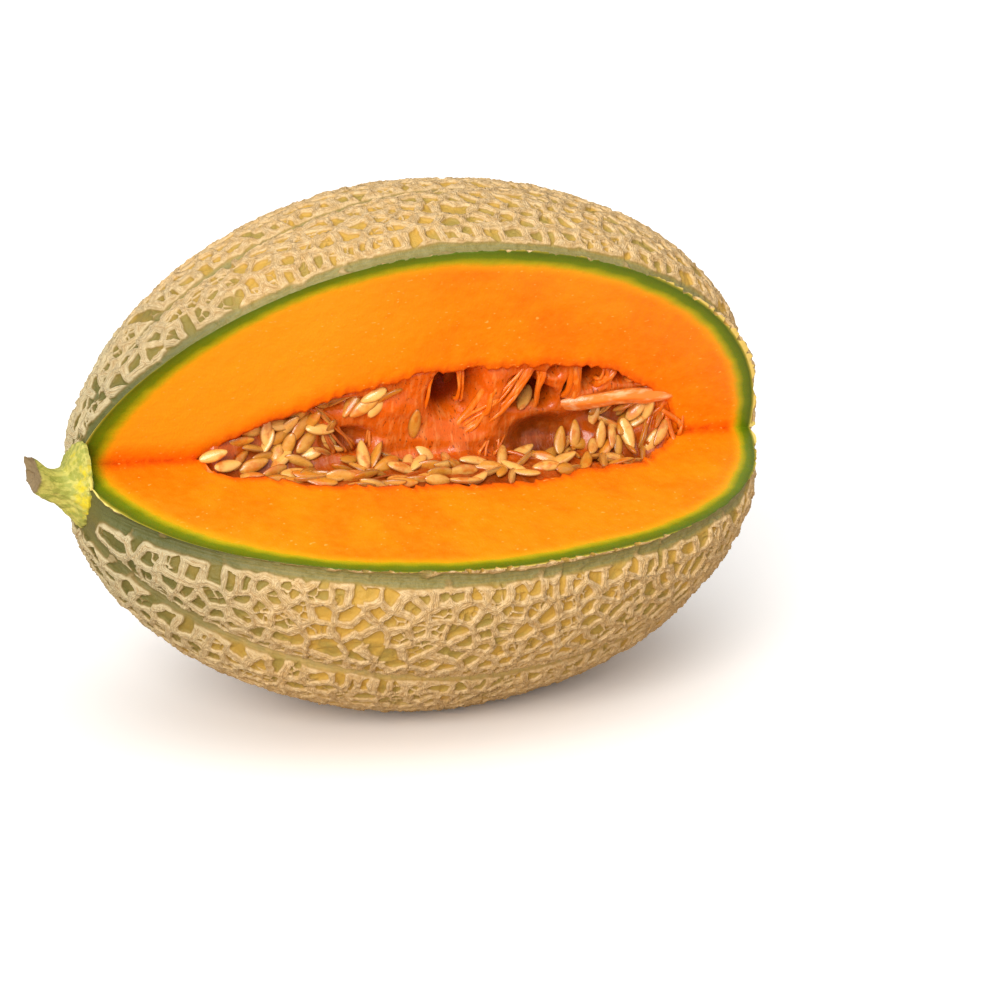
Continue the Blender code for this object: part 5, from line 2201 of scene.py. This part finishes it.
@dataclass(frozen=True)
class SoftSun:
    """One broad, far light, so that the floor is lit evenly to its far end."""

    name: str
    place: tuple[float, float, float]
    strength: float
    spread: float
    color: Color = (1.0, 1.0, 1.0)

    def build(self) -> None:
        """Makes the light, which shines from its place towards the melon."""
        data = bpy.data.lights.new(self.name, "SUN")
        data.energy = self.strength
        data.angle = math.radians(self.spread)
        data.color = self.color
        light = bpy.data.objects.new(self.name, data)
        bpy.context.scene.collection.objects.link(light)
        light.location = self.place
        light.rotation_euler = (-Vector(self.place)).to_track_quat("-Z", "Y").to_euler()


@dataclass
class Studio:
    """The pale floor, the lights and the camera."""

    distance: float = 0.95
    turn: float = 29.4
    height: float = 16.0
    focal_pixels: float = 3117.0
    image: float = 1000.0
    sensor: float = 36.0
    melon_pixel: Pair = (415.3, 445.6)
    floor_size: float = 60.0
    floor_bounce: Color = (0.64, 0.53, 0.4)
    floor_seen: Color = (1.17, 1.14, 1.11)
    floor_roughness: float = 0.65
    world_strength: float = 0.52
    clip: Pair = (0.02, 50.0)
    lights: tuple[SoftSun, ...] = (
        SoftSun("key_light", (-1.25, -1.3, 0.85), 2.8, 38.0, (1.0, 0.99, 0.97)),
        SoftSun("top_light", (-0.25, -0.45, 1.5), 0.95, 55.0),
    )

    def build(self) -> None:
        """Builds all of it."""
        self.floor()
        self.world()
        for light in self.lights:
            light.build()
        self.camera()
        bpy.context.scene.view_settings.view_transform = "Standard"

    def floor(self) -> None:
        """The pale floor."""
        half = 0.5 * self.floor_size
        corners = [(x * half, y * half, 0.0) for x, y in ((-1, -1), (1, -1), (1, 1), (-1, 1))]
        mesh = bpy.data.meshes.new("floor")
        mesh.from_pydata(corners, [], [(0, 1, 2, 3)])
        floor = bpy.data.objects.new("floor", mesh)
        bpy.context.scene.collection.objects.link(floor)
        material, nodes, shader = new_material("pale_floor")
        seen = nodes.add("LightPath").outputs["Is Camera Ray"]
        nodes.give(
            shader,
            Base_Color=nodes.mix(seen, self.floor_bounce, self.floor_seen),
            Roughness=self.floor_roughness,
        )
        mesh.materials.append(material)

    def world(self) -> None:
        """An even pale surround."""
        world = bpy.data.worlds.new("studio")
        bpy.context.scene.world = world
        world.use_nodes = True
        background = world.node_tree.nodes["Background"]
        background.inputs["Color"].default_value = (1.0, 1.0, 1.0, 1.0)
        background.inputs["Strength"].default_value = self.world_strength

    def camera(self) -> None:
        """The camera, which looks down at the cut side from the stem's end."""
        turn, tilt = math.radians(self.turn), math.radians(self.height)
        level = math.cos(tilt)
        back = Vector((-math.sin(turn) * level, -math.cos(turn) * level, math.sin(tilt)))
        right = Vector((math.cos(turn), -math.sin(turn), 0.0))
        up = back.cross(right)
        half = 0.5 * self.image
        aside = (self.melon_pixel[0] - half) / self.focal_pixels * self.distance
        above = -(self.melon_pixel[1] - half) / self.focal_pixels * self.distance
        place = MELON_PLACE + back * self.distance - right * aside - up * above
        data = bpy.data.cameras.new("camera")
        data.sensor_width = self.sensor
        data.lens = self.focal_pixels / self.image * self.sensor
        data.clip_start, data.clip_end = self.clip
        camera = bpy.data.objects.new("camera", data)
        bpy.context.scene.collection.objects.link(camera)
        matrix = Matrix((right, up, back)).transposed().to_4x4()
        matrix.translation = place
        camera.matrix_world = matrix
        bpy.context.scene.camera = camera


def surface_of(piece: Piece) -> BVHTree:
    """A tree of a piece's faces, for casting rays at it in the melon's space.

    Args:
        piece: The piece.

    Returns:
        The tree.
    """
    bm = bmesh.new()
    bm.from_mesh(piece.data)
    tree = BVHTree.FromBMesh(bm)
    bm.free()
    return tree


def main() -> None:
    """Builds the melon and its set, piece by piece."""
    logging.basicConfig(level=logging.INFO, format="%(message)s")
    form = MelonForm()
    shared = SharedEffects()

    rind, rows = RindNet(form).build()
    finish_piece(rind, RindFinish().make(shared))
    flesh = CutFlesh(form).build(rows)
    finish_piece(flesh, FleshFinish().make(shared))
    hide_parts("fruit")

    pulp = SeedPulp(form)
    web = pulp.build()
    finish_piece(web, PulpFinish().make(shared))
    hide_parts("seed_pulp")
    strings_finish = PulpFinish(
        "glossy_strings",
        body=(0.8, 0.16, 0.003),
        pale=(0.92, 0.36, 0.06),
        paleness=0.6,
        fleck_share=0.1,
        bump=0.0001,
    )
    finish_piece(pulp.build_strings(), strings_finish.make(shared))
    fold = PaleFold(pulp).build()
    fold_finish = PulpFinish(
        "pale_pulp",
        body=(0.86, 0.23, 0.025),
        pale=(0.95, 0.52, 0.24),
        paleness=0.9,
        fleck_share=0.0,
        fibre_stretch=(0.3, 1.0, 1.0),
        bump=0.0001,
    )
    finish_piece(fold, fold_finish.make(shared))
    seeds = MelonSeeds(pulp, surface_of(web)).build()
    finish_piece(seeds, SeedFinish().make(shared))

    stalk = Stem(form).build()
    finish_piece(stalk, StemFinish().make(shared))
    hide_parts("stem")

    Studio().build()


if __name__ == "__main__":
    main()
